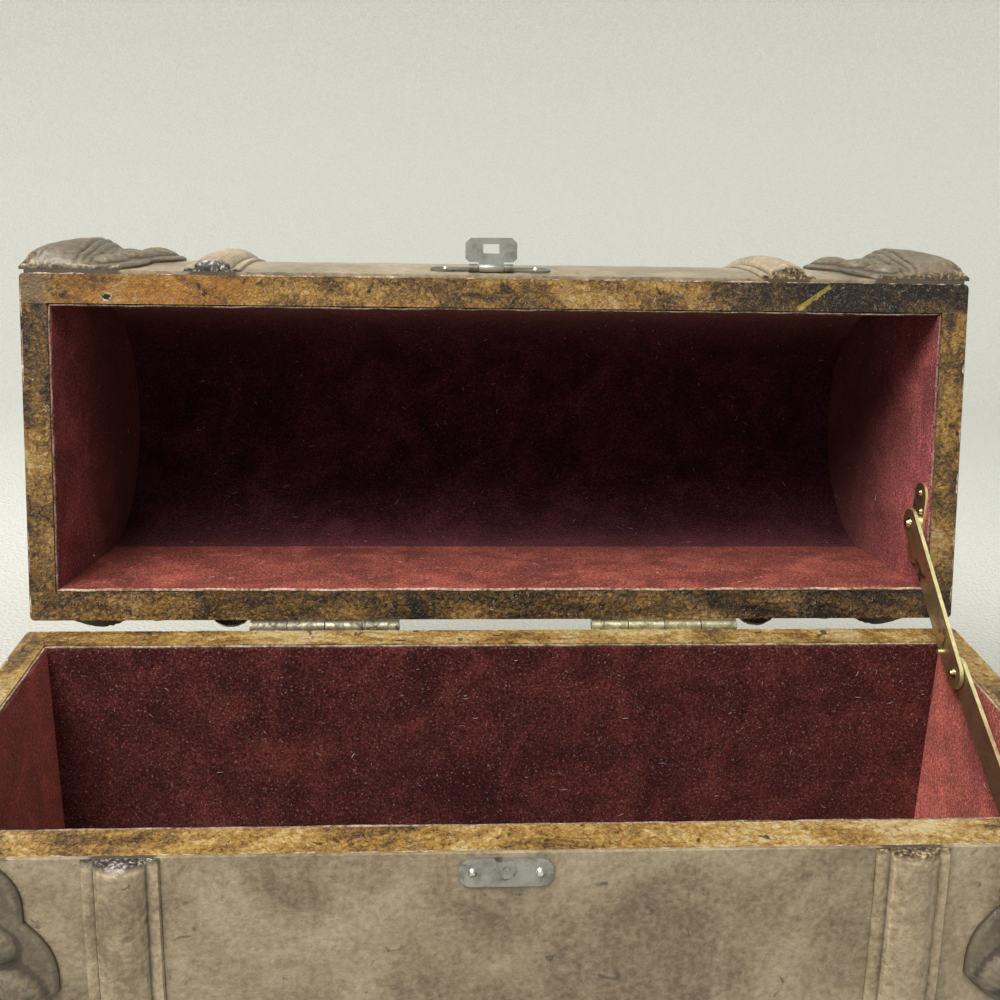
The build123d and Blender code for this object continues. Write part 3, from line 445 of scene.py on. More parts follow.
class Arc:
    """A circular arc in the plane of Y and Z, through three points."""

    def __init__(self, a, b, c):
        ax, ay, bx, by, cx, cy = *a, *b, *c
        d = 2 * (ax * (by - cy) + bx * (cy - ay) + cx * (ay - by))
        aa, bb, cc = ax**2 + ay**2, bx**2 + by**2, cx**2 + cy**2
        self.y = (aa * (by - cy) + bb * (cy - ay) + cc * (ay - by)) / d
        self.z = (aa * (cx - bx) + bb * (ax - cx) + cc * (bx - ax)) / d
        self.radius = hypot(ax - self.y, ay - self.z)
        self.start = atan2(ay - self.z, ax - self.y)
        middle = near(atan2(by - self.z, bx - self.y), self.start)
        self.end = near(atan2(cy - self.z, cx - self.y), middle)
        self.length = self.radius * abs(self.end - self.start)

    def at(self, share):
        """The point at a share of the arc, and the direction straight out of it."""
        turn = self.start + (self.end - self.start) * share
        out = Vector((0, cos(turn), sin(turn)))
        return Vector((0, self.y, self.z)) + self.radius * out, out


class Run:
    """Arcs one after another, measured along their length from the first one's start."""

    def __init__(self, *arcs):
        self.arcs = arcs
        self.length = sum(arc.length for arc in arcs)

    def at(self, along):
        for arc in self.arcs:
            if along <= arc.length or arc is self.arcs[-1]:
                return arc.at(along / arc.length)
            along -= arc.length


def flip(points):
    """The same points on the other side of the middle plane, front for back."""
    return [(-y, z) for y, z in points]


body_arc = [(-COVER_FOOT, 0), (-COVER_FOOT - BODY_BULGE, BODY_HEIGHT / 2), (-COVER_FOOT, BODY_HEIGHT)]
crown_radius = (HALF_DEPTH**2 + LID_RISE**2) / (2 * LID_RISE)
spring_z = LID_RIM + LID_WALL
crown_z = spring_z + LID_RISE - crown_radius
cover_radius = crown_radius + COVER_CROWN
blend_y = cover_radius * cos(COVER_BLEND)
blend_z = crown_z + cover_radius * sin(COVER_BLEND)
over, down = blend_y - COVER_FOOT, LID_RIM - blend_z
swell_radius = (over**2 + down**2) / (2 * (over * cos(COVER_BLEND) - down * sin(COVER_BLEND)))
swell_y = swell_radius * cos(COVER_BLEND) - blend_y
swell_z = blend_z - swell_radius * sin(COVER_BLEND)
arc_mid_z = (LID_RIM + blend_z) / 2
arc_mid_y = sqrt(swell_radius**2 - (arc_mid_z - swell_z) ** 2) - swell_y
lid_arc = [(-COVER_FOOT, LID_RIM), (-arc_mid_y, arc_mid_z), (-blend_y, blend_z)]
crown_arc = [(-blend_y, blend_z), (0, crown_z + cover_radius), (blend_y, blend_z)]
body_front_run = Run(Arc(*body_arc))
body_back_run = Run(Arc(*flip(body_arc)))
lid_run = Run(Arc(*lid_arc), Arc(*crown_arc), Arc(*flip(reversed(lid_arc))))
lid_back_run = Run(Arc(*flip(lid_arc)))


# -------- mesh helpers
def smooth_step(low, high, value):
    """0 up to low, 1 from high, and smooth between them."""
    share = min(1, max(0, (value - low) / (high - low)))
    return share * share * (3 - 2 * share)


def wobble(x, y, z, size, seed=0):
    """Smooth noise from -1 to 1, with features of about a size in millimetres."""
    return noise.noise(Vector((x / size + 31.7 * seed, y / size, z / size)))


def grid_faces(columns, rows, start=0):
    """Faces of a closed sheet whose points are a grid on top, then the same grid under it."""
    layer = columns * rows
    faces = []
    for j in range(rows - 1):
        for i in range(columns - 1):
            a = start + j * columns + i
            quad = (a, a + 1, a + columns + 1, a + columns)
            faces += [quad, tuple(v + layer for v in reversed(quad))]
    edge = [start + i for i in range(columns)]
    edge += [start + j * columns + columns - 1 for j in range(1, rows)]
    edge += [start + (rows - 1) * columns + i for i in range(columns - 2, -1, -1)]
    edge += [start + j * columns for j in range(rows - 2, 0, -1)]
    for a, b in zip(edge, edge[1:] + edge[:1]):
        faces.append((b, a, a + layer, b + layer))
    return faces


def crests(heights, columns, rows, reach=2, step=0.3):
    """How far each point of a grid stands over its neighbours, from -1 in a groove to 1."""
    values = []
    for j in range(rows):
        for i in range(columns):
            near_by = []
            for di, dj in ((-reach, 0), (reach, 0), (0, -reach), (0, reach)):
                row, column = min(rows - 1, max(0, j + dj)), min(columns - 1, max(0, i + di))
                near_by.append(heights[row * columns + column])
            over = heights[j * columns + i] - sum(near_by) / len(near_by)
            values.append(max(-1.0, min(1.0, over / step)))
    return values


SEAM_REACH, SHARP_FROM = 0.1, radians(50)
LEVELS = {"chest": (0, BODY_HEIGHT + SEAM_REACH), "lid": (LID_RIM - SEAM_REACH, inf)}


def kept_level(point, body):
    """A point of the shut box, held above the floor and clear of the box's other half."""
    low, high = LEVELS.get(body, (-inf, inf))
    return Vector((point[0], point[1], min(high, max(low, point[2]))))


def added(name, data):
    """A new object of the scene, round a mesh, a light or a camera."""
    made = bpy.data.objects.new(name, data)
    bpy.context.scene.collection.objects.link(made)
    return made


def riding(name, mesh):
    """A new piece of the box, which moves with the body that its name begins with."""
    piece = added(name, mesh)
    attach(piece, BODY_OF[name.split("_")[0]])
    return piece


def piece_from(name, points, faces, slot, finish, **marks):
    """A new piece from points in millimetres, turned to where its half of the box is."""
    body = BODY_OF[name.split("_")[0]]
    turn = TURNS.get(body, Matrix.Identity(4))
    mesh = bpy.data.meshes.new(name)
    mesh.from_pydata([(turn @ kept_level(p, body)) * MM for p in points], [], faces)
    for mark, values in marks.items():
        mesh.attributes.new(mark, "FLOAT", "POINT").data.foreach_set("value", values)
    mesh.materials.append(finish_of[finish])
    shell = bmesh.new()
    shell.from_mesh(mesh)
    bmesh.ops.recalc_face_normals(shell, faces=shell.faces)
    shell.to_mesh(mesh)
    shell.free()
    mesh.shade_smooth()
    mesh.set_sharp_from_angle(angle=SHARP_FROM)
    return riding(name, mesh)


# -------- corner mounts
# The outline, as how far it reaches in at each level, and those levels beside the corner.
MOUNT_STEPS = [(30, 0), (37, 15), (44, 33), (25, 43), (0, 50)]
MOUNT_SIDE = [0, 12, 26, 40, 50]
MOUNT_WAIST, MOUNT_TOP, MOUNT_BACK_START = 24, 50, 28
MOUNT_COLUMNS, OUTLINE_STEPS, SCALLOP, PLATE = 64, 16, 2.6, 1.5
ROLL_START, ROLL_END, ROLL_RISE = 0.6, 24, 5.9
FLUTES, FLUTE_WIDTH, FLUTE_DEPTH = (0.70, 0.79, 0.88), 0.020, 0.13
# Each lobe's place across and up, its half axes and its height.
LOBES = ((25, 8, 6.6, 4.0, 2.3), (29.5, 19, 7.2, 4.4, 2.9), (34.5, 31, 7.8, 4.8, 2.9))
LOBE_LEAN, VEIN_DEPTH, VEIN_WIDTH = radians(38), 0.35, 0.12


def roll_height(across, up, rise):
    """The roll beside the corner: steep on its inner side, with flutes along it."""
    share = (across - ROLL_START) / (ROLL_END - ROLL_START)
    if not 0 < share < 1:
        return 0
    skew = 0.62 + 0.74 * smooth_step(8, 30, up)
    hump = sin(pi * share**skew) ** 0.8
    flutes = sum(exp(-(((share - groove) / FLUTE_WIDTH) ** 2)) for groove in FLUTES)
    hump -= FLUTE_DEPTH * flutes + 0.008 * cos(46 * share)
    ends = smooth_step(-1.5, 6, up) * (1 - 0.9 * smooth_step(34, 50, up)) if rise else 1
    return ROLL_RISE * hump * (0.78 + 0.22 * smooth_step(4, 22, up)) * ends


def lobe_height(across, up):
    """The leaf's lobes on the roll's inner side, each with a vein."""
    best = 0
    for at_across, at_up, long_axis, short_axis, height in LOBES:
        dx, dy = across - at_across, up - at_up
        along = (dx * cos(LOBE_LEAN) + dy * sin(LOBE_LEAN)) / long_axis
        beside = (-dx * sin(LOBE_LEAN) + dy * cos(LOBE_LEAN)) / short_axis
        inside = 1 - along * along - beside * beside
        if inside > 0:
            vein = VEIN_DEPTH * exp(-((beside / VEIN_WIDTH) ** 2)) * smooth_step(0, 0.5, inside)
            best = max(best, height * inside**0.6 - vein)
    return best


def mount_height(across, up, border, share, rise=True):
    """Height of a mount over the cover at a place, lower towards its border."""
    inner = max(roll_height(across, up, rise), lobe_height(across, up))
    ripple = 0.35 * sin(0.9 * across - 0.55 * up) * smooth_step(22, 28, across)
    rough = 0.35 * wobble(across, up, 0, 1.6)
    for place, first, last in ((across, 5, 12), (up, 3, 9)):
        rough *= 1 - smooth_step(first, last, place)
    carved = inner + ripple * 0.5 + 1.4 * rough + 0.08 * wobble(across, up, 3, 3.5)
    plate = PLATE * (0.55 + 0.45 * smooth_step(0, 1.2, border))
    return plate + share * max(0, carved) * smooth_step(0, 2.2, border)


def scalloped(steps):
    """Points along the outline, swelling between the places where its scallops meet."""
    points = []
    for (a, b), (c, d) in zip(steps, steps[1:]):
        length = hypot(c - a, d - b)
        for i in range(OUTLINE_STEPS):
            t = i / OUTLINE_STEPS
            swell = SCALLOP * sin(pi * t) if length > 6 else 0
            across = a + (c - a) * t + (d - b) / length * swell
            up = b + (d - b) * t - (c - a) / length * swell
            points.append((across, up))
    return points + [steps[-1]]


def side_points(levels):
    """Levels beside the corner, as many as the outline has points."""
    points = []
    for a, b in zip(levels, levels[1:]):
        points += [a + (b - a) * i / OUTLINE_STEPS for i in range(OUTLINE_STEPS)]
    return points + [levels[-1]]


def mount_lines(total, whole, bare, margin):
    """A mount's rows, each as its inner end and its level beside the corner."""
    steps, levels = list(MOUNT_STEPS), list(MOUNT_SIDE)
    if whole:
        steps = steps[:-1] + [(MOUNT_WAIST, MOUNT_TOP), (MOUNT_WAIST, total / 2)]
        levels = levels[:-1] + [MOUNT_TOP, total / 2]
        steps += [(across, total - up) for across, up in reversed(steps[:-1])]
        levels += [total - level for level in reversed(levels[:-1])]
    lines = list(zip(scalloped(steps), side_points(levels)))
    inside = [
        k for k, ((_, far_up), near_up) in enumerate(lines)
        if max(far_up, near_up) > bare and min(far_up, near_up) < total - margin
    ]
    return lines[max(0, inside[0] - 1):inside[-1] + 2]


def mount(name, run, side, share=1, whole=False, bare=0, margin=0):
    """A corner mount on a cover. side -1 is the left one; bare and margin leave out its two ends."""
    total = run.length
    lines = mount_lines(total, whole, bare, margin)
    columns, rows = MOUNT_COLUMNS, len(lines)
    top, under, heights, raw = [], [], [], []
    for (far_across, far_up), near_up in lines:
        for i in range(columns):
            t = i / (columns - 1)
            across, up = far_across * t, near_up + (far_up - near_up) * t
            up = min(max(up, bare), total - margin)
            leaf_up = min(up, total - up) if whole else up
            gap = min((1 - t) * max(far_across, 4), across + 0.4, leaf_up + 0.6)
            point, out = run.at(up)
            height = mount_height(across, leaf_up, gap, share, not whole)
            heights.append(height)
            broken = (1 - smooth_step(1, 7, across)) * (1 - smooth_step(6, 22, leaf_up))
            raw.append(max(broken, 0.8 * (1 - smooth_step(0, 2, leaf_up))) if share == 1 else 0)
            x = side * (HALF_WIDTH - across)
            top.append(Vector((x, point.y, point.z)) + out * height)
            under.append(Vector((x, point.y, point.z)))
    # The points under the mount get crest -1: painted shade on its side faces.
    piece = piece_from(
        name, top + under, grid_faces(columns, rows), "relief", "mount",
        crest=crests(heights, columns, rows) + [-1] * len(under),
        raw=[0.85 * value for value in raw] + [0] * len(under), gilt=[1] * (2 * len(top)),
    )
    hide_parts(name.replace("relief", "mount"))


for side, side_name in SIDES:
    mount(f"lid_relief_front_{side_name}", lid_run, side)
    mount(f"lid_relief_back_{side_name}", lid_back_run, side, 0.6, bare=MOUNT_BACK_START)
    mount(f"body_relief_front_{side_name}", body_front_run, side, whole=True)
    mount(f"body_relief_back_{side_name}", body_back_run, side, 0.6, True, margin=MOUNT_BACK_START)

# -------- straps
STRAP_X, STRAP_HALF, FLANGE, STRAP_RISE, FLANGE_RISE = 91, 5.8, 3.0, 4.3, 1.1
LINE_AT, LINE_WIDTH, LINE_DEPTH = 0.62, 0.05, 0.22
STRAP_STEP, STRAP_BACK_START = 1.6, 22


def strap_profile():
    """Across a strap: a flat border, a groove, the rounded middle, a groove, a flat border."""
    profile = [(-STRAP_HALF - FLANGE, 0.35), (-STRAP_HALF - FLANGE + 0.35, 0.95)]
    profile += [(-STRAP_HALF - 1.2, FLANGE_RISE), (-STRAP_HALF - 0.5, 0.75), (-STRAP_HALF, 0.95)]
    for i in range(1, 20):
        t = -1 + i / 10
        line = LINE_DEPTH * exp(-(((abs(t) - LINE_AT) / LINE_WIDTH) ** 2))
        height = FLANGE_RISE + (STRAP_RISE - FLANGE_RISE) * sqrt(1 - t * t) - line
        profile.append((t * STRAP_HALF, height))
    return profile + [(-x, h) for x, h in reversed(profile[:5])]


def strap(name, lengths, side, seed):
    """A strap over one or more runs, each from one place along it to another."""
    profile = strap_profile()
    columns = len(profile)
    points, faces, crest, raw = [], [], [], []
    for run, first, last in lengths:
        rows = int((last - first) / STRAP_STEP)
        start = len(points)
        top, under, heights = [], [], []
        for j in range(rows):
            along = first + (last - first) * j / (rows - 1)
            end = min(along - first, last - along)
            point, out = run.at(along)
            raw += [1 - smooth_step(0, 1.8, end)] * columns
            for x, height in profile:
                uneven = 0.18 * wobble(x, along, seed, 4) + 0.12 * wobble(x, along, seed + 5, 1.7)
                worn = 1 - 0.22 * (1 - smooth_step(0, 1.5, end))
                place = Vector((side * (STRAP_X - x), point.y, point.z))
                heights.append(max(0.2, height * worn + uneven))
                top.append(place + out * heights[-1])
                under.append(place)
        points += top + under
        faces += grid_faces(columns, rows, start)
        raw += raw[-len(top):]
        # Points under the strap get crest -0.8: painted shade on its sides.
        crest += crests(heights, columns, rows, 1, 0.5) + [-0.8] * len(under)
    piece = piece_from(
        name, points, faces, "relief", "strap",
        crest=crest, raw=raw, gilt=[0.8 if side > 0 else 0.1] * len(points),
    )
    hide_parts(name.replace("band", "strap"))


lid_strap = [(lid_run, 0, lid_run.length - STRAP_BACK_START)]
body_strap = [
    (body_front_run, 0, body_front_run.length),
    (body_back_run, 0, body_back_run.length - STRAP_BACK_START),
]
for side, side_name in SIDES:
    strap(f"lid_band_{side_name}", lid_strap, side, 1 + side)
    strap(f"body_band_{side_name}", body_strap, side, 5 + side)

# -------- covers
def board_face(point):
    """The board's surface behind a point of the cover."""
    away = Vector((0, point.y, point.z - crown_z)).normalized() * crown_radius
    if point.z <= spring_z or crown_z + away.z < spring_z:
        return Vector((point.x, copysign(HALF_DEPTH, point.y), point.z))
    return Vector((point.x, away.y, crown_z + away.z))


COVER_COLUMNS, COVER_STEP = 150, 2


def cover(name, run, length):
    """The swollen sheet over the boards, with painted shade along its cut edges beside the mounts and
    straps.
    """
    columns, rows = COVER_COLUMNS, int(length / COVER_STEP)
    top, under, crest = [], [], []
    for j in range(rows):
        along = length * j / (rows - 1)
        point, out = run.at(along)
        edge_up = min(along, length - along)
        for i in range(columns):
            x = -COVER_END + 2 * COVER_END * i / (columns - 1)
            skin = 0.16 * wobble(x, along, 1, 9) + 0.07 * wobble(x, along, 2, 2.6)
            skin *= smooth_step(0, 3, edge_up)
            place = Vector((x, point.y, point.z))
            top.append(place + out * skin)
            under.append(board_face(place))
            # Painted shade: the cut edge beside mounts and straps is darkened, and the points under the
            # sheet are darker, so its edges shade towards the board.
            shaded = abs(x) > HALF_WIDTH - MOUNT_STEPS[0][0] or abs(abs(x) - STRAP_X) < STRAP_HALF + 1
            crest.append(-1 if shaded and edge_up < 1 else 0.25 * skin)
    piece = piece_from(
        name, top + under, grid_faces(columns, rows), "cover", "cover",
        crest=crest + [value if value < 0 else -0.35 for value in crest],
    )
    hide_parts(name.replace("sheet", "cover"))


cover("body_front_sheet", body_front_run, body_front_run.length)
cover("body_back_sheet", body_back_run, body_back_run.length - BACK_MARGIN)
cover("lid_sheet", lid_run, lid_run.length - BACK_MARGIN)

# -------- velvet linings on card
INNER_X, INNER_Y, CARD, SETBACK, FLOOR_TOP = 141.8, 45.8, 1.0, 0.4, 11.0
BODY_BRIM, LID_BRIM = BODY_HEIGHT - SETBACK, LID_RIM + SETBACK
CROWN_CARD, RIM_ROUND = LID_RISE - 3.6, 0.9


def arch(half_span, rise):
    """Radius and centre height of the arch that springs from the lid's straight walls."""
    radius = (half_span**2 + rise**2) / (2 * rise)
    return radius, spring_z + rise - radius


def arch_top(y):
    """Level of the crown's velvet at a place across the lid."""
    radius, centre = arch(INNER_Y - CARD, CROWN_CARD - CARD)
    return centre + sqrt(radius**2 - min(abs(y), INNER_Y - CARD) ** 2)


def crown_place(a, b):
    """The crown; b runs across it, from front to back."""
    radius, centre = arch(INNER_Y, CROWN_CARD)
    start = asin(INNER_Y / radius)
    turn = start * (2 * b - 1)
    out = Vector((0, sin(turn), cos(turn)))
    return Vector((INNER_X * (2 * a - 1), 0, centre)) + radius * out, -out


def wall_place(side, low, high):
    """A long wall on one side; b runs from its rim."""

    def place(a, b):
        x = INNER_X * (2 * a - 1)
        return Vector((x, side * INNER_Y, low + (high - low) * b)), Vector((0, -side, 0))

    return place


def end_place(side, low, high):
    """An end wall; high is a level, or the arch over it."""

    def place(a, b):
        y = (INNER_Y - CARD) * (2 * a - 1)
        top = high(y) if callable(high) else high
        return Vector((side * INNER_X, y, low + (top - low) * b)), Vector((-side, 0, 0))

    return place


def floor_place(a, b):
    """The floor; b runs across it, from front to back."""
    x, y = (INNER_X - CARD) * (2 * a - 1), (INNER_Y - CARD) * (2 * b - 1)
    return Vector((x, y, FLOOR_TOP)), Vector((0, 0, 1))


# The linings that get the lit or shaded copies of the velvet, as painted light.
PAINTED_LIGHT_VELVET = {
    "lid_back_velvet": "velvet_ledge",
    "body_right_velvet": "velvet_right", "body_left_velvet": "velvet_left",
    "lid_left_velvet": "velvet_lid_end", "lid_right_velvet": "velvet_lid_end",
}
linings = []


def lining(name, place, width, length, board=None, rim=True):
    """Velvet over card, soft at the rim, with a slight waviness."""
    board = board or name.replace("velvet", "board")
    columns, rows = max(24, int(width / 2.4)), max(24, int(length / 2.4))
    top, under = [], []
    for j in range(rows):
        b = (j / (rows - 1)) ** (1.4 if rim else 1)
        for i in range(columns):
            a = i / (columns - 1)
            point, inward = place(a, b)
            depth = length * b
            fold = min(1, depth / RIM_ROUND) if rim else 1
            thickness = CARD * (0.3 + 0.7 * sqrt(1 - (1 - fold) ** 2))
            thickness += 0.10 * wobble(point.x, point.y, point.z, 22) * smooth_step(0, 6, depth)
            top.append(point + inward * thickness)
            under.append(point.copy())
    finish = PAINTED_LIGHT_VELVET.get(name, "velvet_body" if name.startswith("body") else "velvet")
    piece = piece_from(name, top + under, grid_faces(columns, rows), "velvet", finish)
    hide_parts(name.replace("velvet", "lining"))
    linings.append((name, place, width, length))


WALL_LENGTH, END_LENGTH = 2 * INNER_X, 2 * (INNER_Y - CARD)
BODY_DEEP, LID_DEEP, ARCH_DEEP = BODY_BRIM - FLOOR_TOP, spring_z - LID_BRIM, arch_top(0) - LID_BRIM
crown_radius_inside = arch(INNER_Y, CROWN_CARD)[0]
crown_length = 2 * crown_radius_inside * asin(INNER_Y / crown_radius_inside)
for side, side_name in ((-1, "front"), (1, "back")):
    lining(f"body_{side_name}_velvet", wall_place(side, BODY_BRIM, FLOOR_TOP), WALL_LENGTH, BODY_DEEP)
    lining(f"lid_{side_name}_velvet", wall_place(side, LID_BRIM, spring_z), WALL_LENGTH, LID_DEEP)
for side, side_name in SIDES:
    lining(f"body_{side_name}_velvet", end_place(side, BODY_BRIM, FLOOR_TOP), END_LENGTH, BODY_DEEP)
    place = end_place(side, LID_BRIM, arch_top)
    lining(f"lid_{side_name}_velvet", place, END_LENGTH, ARCH_DEEP)
lining("lid_crown_velvet", crown_place, WALL_LENGTH, crown_length, "lid_crown", rim=False)
lining("body_floor_velvet", floor_place, WALL_LENGTH - 2 * CARD, END_LENGTH, rim=False)


# -------- fibres and frayed edges
def circle(sides):
    """Cosine and sine of directions all round."""
    return [(cos(2 * pi * k / sides), sin(2 * pi * k / sides)) for k in range(sides)]


def tube(path, radius, sides=4):
    """Points and faces of a thin closed tube along a path."""
    points, faces = [], []
    for k, point in enumerate(path):
        ahead = path[min(k + 1, len(path) - 1)] - path[max(k - 1, 0)]
        across = ahead.orthogonal().normalized()
        beside = ahead.cross(across).normalized()
        thick = radius[k] if isinstance(radius, list) else radius
        taper = thick * (0.35 if k in (0, len(path) - 1) else 1)
        points += [point + taper * (c * across + s * beside) for c, s in circle(sides)]
    for k in range(len(path) - 1):
        for i in range(sides):
            a, b = k * sides + i, k * sides + (i + 1) % sides
            faces.append((a, b, b + sides, a + sides))
    last = (len(path) - 1) * sides
    return points, faces + [tuple(range(sides)), tuple(last + i for i in reversed(range(sides)))]


def joined(parts):
    """Several lots of points and faces as one."""
    points, faces = [], []
    for more_points, more_faces in parts:
        faces += [tuple(v + len(points) for v in face) for face in more_faces]
        points += more_points
    return points, faces


FIBRE_LENGTHS, FIBRE_PARTS, FIBRE_LIFT = (0.3, 0.3, 0.4, 0.5, 0.7, 1.0, 2.2), 4, 0.12


def fibres(name, place, width, length, seed, per_area=0.011):
    """Lint on a lining: short curled fibres, some of them only specks."""
    pick = random.Random(seed)
    parts = []
    for _ in range(int(width * length * per_area)):
        a, b = pick.uniform(0.01, 0.99), pick.uniform(0.02, 0.98)
        long = pick.choice(FIBRE_LENGTHS)
        heading, curl = pick.uniform(0, 2 * pi), pick.uniform(-1.2, 1.2)
        path = []
        for k in range(FIBRE_PARTS + 1):
            point, inward = place(min(1, max(0, a)), min(1, max(0, b)))
            bow = FIBRE_LIFT * sin(pi * k / FIBRE_PARTS) * long / 3
            path.append(point + inward * (CARD + FIBRE_LIFT + bow))
            a += long / FIBRE_PARTS * cos(heading) / width
            b += long / FIBRE_PARTS * sin(heading) / length
            heading += curl / FIBRE_PARTS
        parts.append(tube(path, pick.uniform(0.04, 0.07), 3))
    piece_from(name, *joined(parts), "velvet", "lint")


for seed, (name, place, width, length) in enumerate(linings):
    fibres(name.replace("velvet", "lint"), place, width, length, seed)


FRONT, RIGHT, BACK, LEFT = range(4)
CARD_EDGE_INSET, CARD_EDGE_STEP, WEAR_STEP = 0.45, 1.5, 1.1


def stepped(start, end, step):
    """Places from start to end, about a step apart."""
    (ax, ay), (bx, by) = start, end
    steps = int(hypot(bx - ax, by - ay) / step)
    return [(ax + (bx - ax) * k / steps, ay + (by - ay) * k / steps) for k in range(steps + 1)]


def card_edge(name, level, sides, seed, finish, radius=0.42):
    """The frayed edge of the card, which shows as a wavy line round the rim's inside."""
    half_x, half_y = INNER_X - CARD_EDGE_INSET, INNER_Y - CARD_EDGE_INSET
    corners = [(-half_x, -half_y), (half_x, -half_y), (half_x, half_y), (-half_x, half_y)]
    parts = []
    for side in sides:
        path = []
        for x, y in stepped(corners[side], corners[(side + 1) % 4], CARD_EDGE_STEP):
            aside = 0.28 * wobble(x, y, 0, 7, seed) + 0.12 * wobble(x, y, 0, 2.2, seed)
            pull = Vector((0, -y / half_y, 0) if side in (FRONT, BACK) else (-x / half_x, 0, 0))
            path.append(Vector((x, y, level + 0.10 * wobble(x, y, 5, 3, seed))) + pull * (0.1 + aside))
        parts.append(tube(path, radius, 6))
    piece_from(name, *joined(parts), "velvet", finish)


card_edge("body_card_edge", BODY_HEIGHT - 0.52, (FRONT, RIGHT, BACK, LEFT), 1, "bare_wood")
card_edge("lid_card_edge", LID_RIM + 0.52, (FRONT, RIGHT, LEFT), 2, "card_worn", 0.3)
card_edge("lid_card_edge_back", LID_RIM + 0.54, (BACK,), 3, "card_pale", 0.46)

# -------- wear on the rims
def worn_edge(name, level, lines, seed, spread=0.25):
    """Pale broken wood along the outer edges of a rim, thicker and thinner as it goes."""
    parts = []
    for start, end in lines:
        path, thick = [], []
        for x, y in stepped(start, end, WEAR_STEP):
            path.append(Vector((x, y, level + 0.12 * wobble(x, y, 1, 9, seed))))
            width = 0.34 + spread * wobble(x, y, 2, 6, seed) + 0.14 * wobble(x, y, 3, 1.9, seed)
            thick.append(max(0.12, width))
        parts.append(tube(path, thick, 6))
    piece_from(name, *joined(parts), "board", "card_pale")


EDGE_X, EDGE_Y, EDGE_SHORT = HALF_WIDTH - 0.35, HALF_DEPTH - 0.05, 1.5
wear_x, wear_y = EDGE_X - EDGE_SHORT, EDGE_Y - EDGE_SHORT
front_line, back_line = [((-wear_x, y), (wear_x, y)) for y in (-EDGE_Y, EDGE_Y)]
side_lines = [((x, -wear_y), (x, wear_y)) for x in (-EDGE_X, EDGE_X)]
worn_edge("lid_front_wear", LID_RIM + 0.30, [front_line], 11, 0.3)
worn_edge("lid_end_wear", LID_RIM + 0.34, side_lines, 12)
worn_edge("body_wear", BODY_HEIGHT - 0.34, [front_line, back_line, *side_lines], 13)
KNOT_SIDES, KNOT_RADIUS = 24, 1.5


def knot(name, x, y, level, seed=21):
    """A small knot hole in the rim: a pale ragged ring round a dark hollow, which is painted shade on a
    flat disc.
    """
    path = []
    for c, s in circle(KNOT_SIDES):
        radius = KNOT_RADIUS + 0.45 * wobble(c, s, 0, 0.8, seed)
        path.append(Vector((x + radius * c, y + 0.8 * radius * s, level)))
    piece_from(name, *tube(path + path[:1], 0.42, 8), "board", "card_pale")
    # A flat dark disc stands for the hole: painted shade.
    hollow = [Vector((x, y, level - 0.06))]
    hollow += [Vector((p.x, p.y, level - 0.06)) for p in path]
    fan = [(0, k + 1, (k + 1) % KNOT_SIDES + 1) for k in range(KNOT_SIDES)]
    piece_from(f"{name}_hollow", hollow, fan, "board", "hollow")


knot("lid_knot", -123.5, -47.9, LID_RIM)
RIM_LONG, RIM_DEEP, RIM_INSET = 2 * INNER_X, 8.0, 0.6


def rim_place(y, level, up):
    """A strip along a rim; fibres lie on it without the card's thickness."""

    def place(a, b):
        low = level - up * (CARD + FIBRE_LIFT)
        return Vector((-INNER_X + RIM_LONG * a, y + RIM_DEEP * b, low)), Vector((0, 0, up))

    return place


for name, y, level, up, seed, per_area in (
    ("lid_rim_lint", -HALF_DEPTH + RIM_INSET, LID_RIM, -1, 31, 0.02),
    ("lid_back_rim_lint", INNER_Y + RIM_INSET, LID_RIM, -1, 32, 0.03),
    ("body_rim_lint", INNER_Y + RIM_INSET, BODY_HEIGHT, 1, 33, 0.02),
):
    fibres(name, rim_place(y, level, up), RIM_LONG, RIM_DEEP, seed, per_area)

# -------- the hasp's flap
FLAP_HALF, FLAP_FAR, FLAP_NEAR, FLAP_CUT, NECK_HALF, SHEET = 8.2, 9.6, 1.9, 1.6, 6.9, 0.6
SLOT_HALF, SLOT_LOW, SLOT_HIGH = 2.55, 4.75, 7.65
KNUCKLE_HALF, KNUCKLE_RADIUS, PIN_HOLE, KNUCKLE_SIDES, KNUCKLE_SOFT = 3.98, 1.3, 0.56, 28, 0.12
SHEET_SOFT, NECK_RISE = 0.09, 1.1


def cut_sheet(name, outline, holes, place, slot):
    """A flat piece of sheet metal with softened edges, from an outline and its holes."""
    curve = bpy.data.curves.new(name, "CURVE")
    curve.dimensions = "2D"
    curve.fill_mode = "BOTH"
    for loop in (outline, *holes):
        spline = curve.splines.new("POLY")
        spline.points.add(len(loop) - 1)
        for point, (x, y) in zip(spline.points, loop):
            point.co = (x * MM, y * MM, 0, 1)
        spline.use_cyclic_u = True
    curve.extrude = (SHEET / 2 - SHEET_SOFT) * MM
    curve.bevel_depth = SHEET_SOFT * MM
    curve.bevel_resolution = 2
    curve.offset = -SHEET_SOFT * MM
    mesh = bpy.data.meshes.new_from_object(bpy.data.objects.new(name, curve))
    mesh.transform(place)
    mesh.materials.clear()
    mesh.materials.append(finish_of[slot])
    return riding(name, mesh)


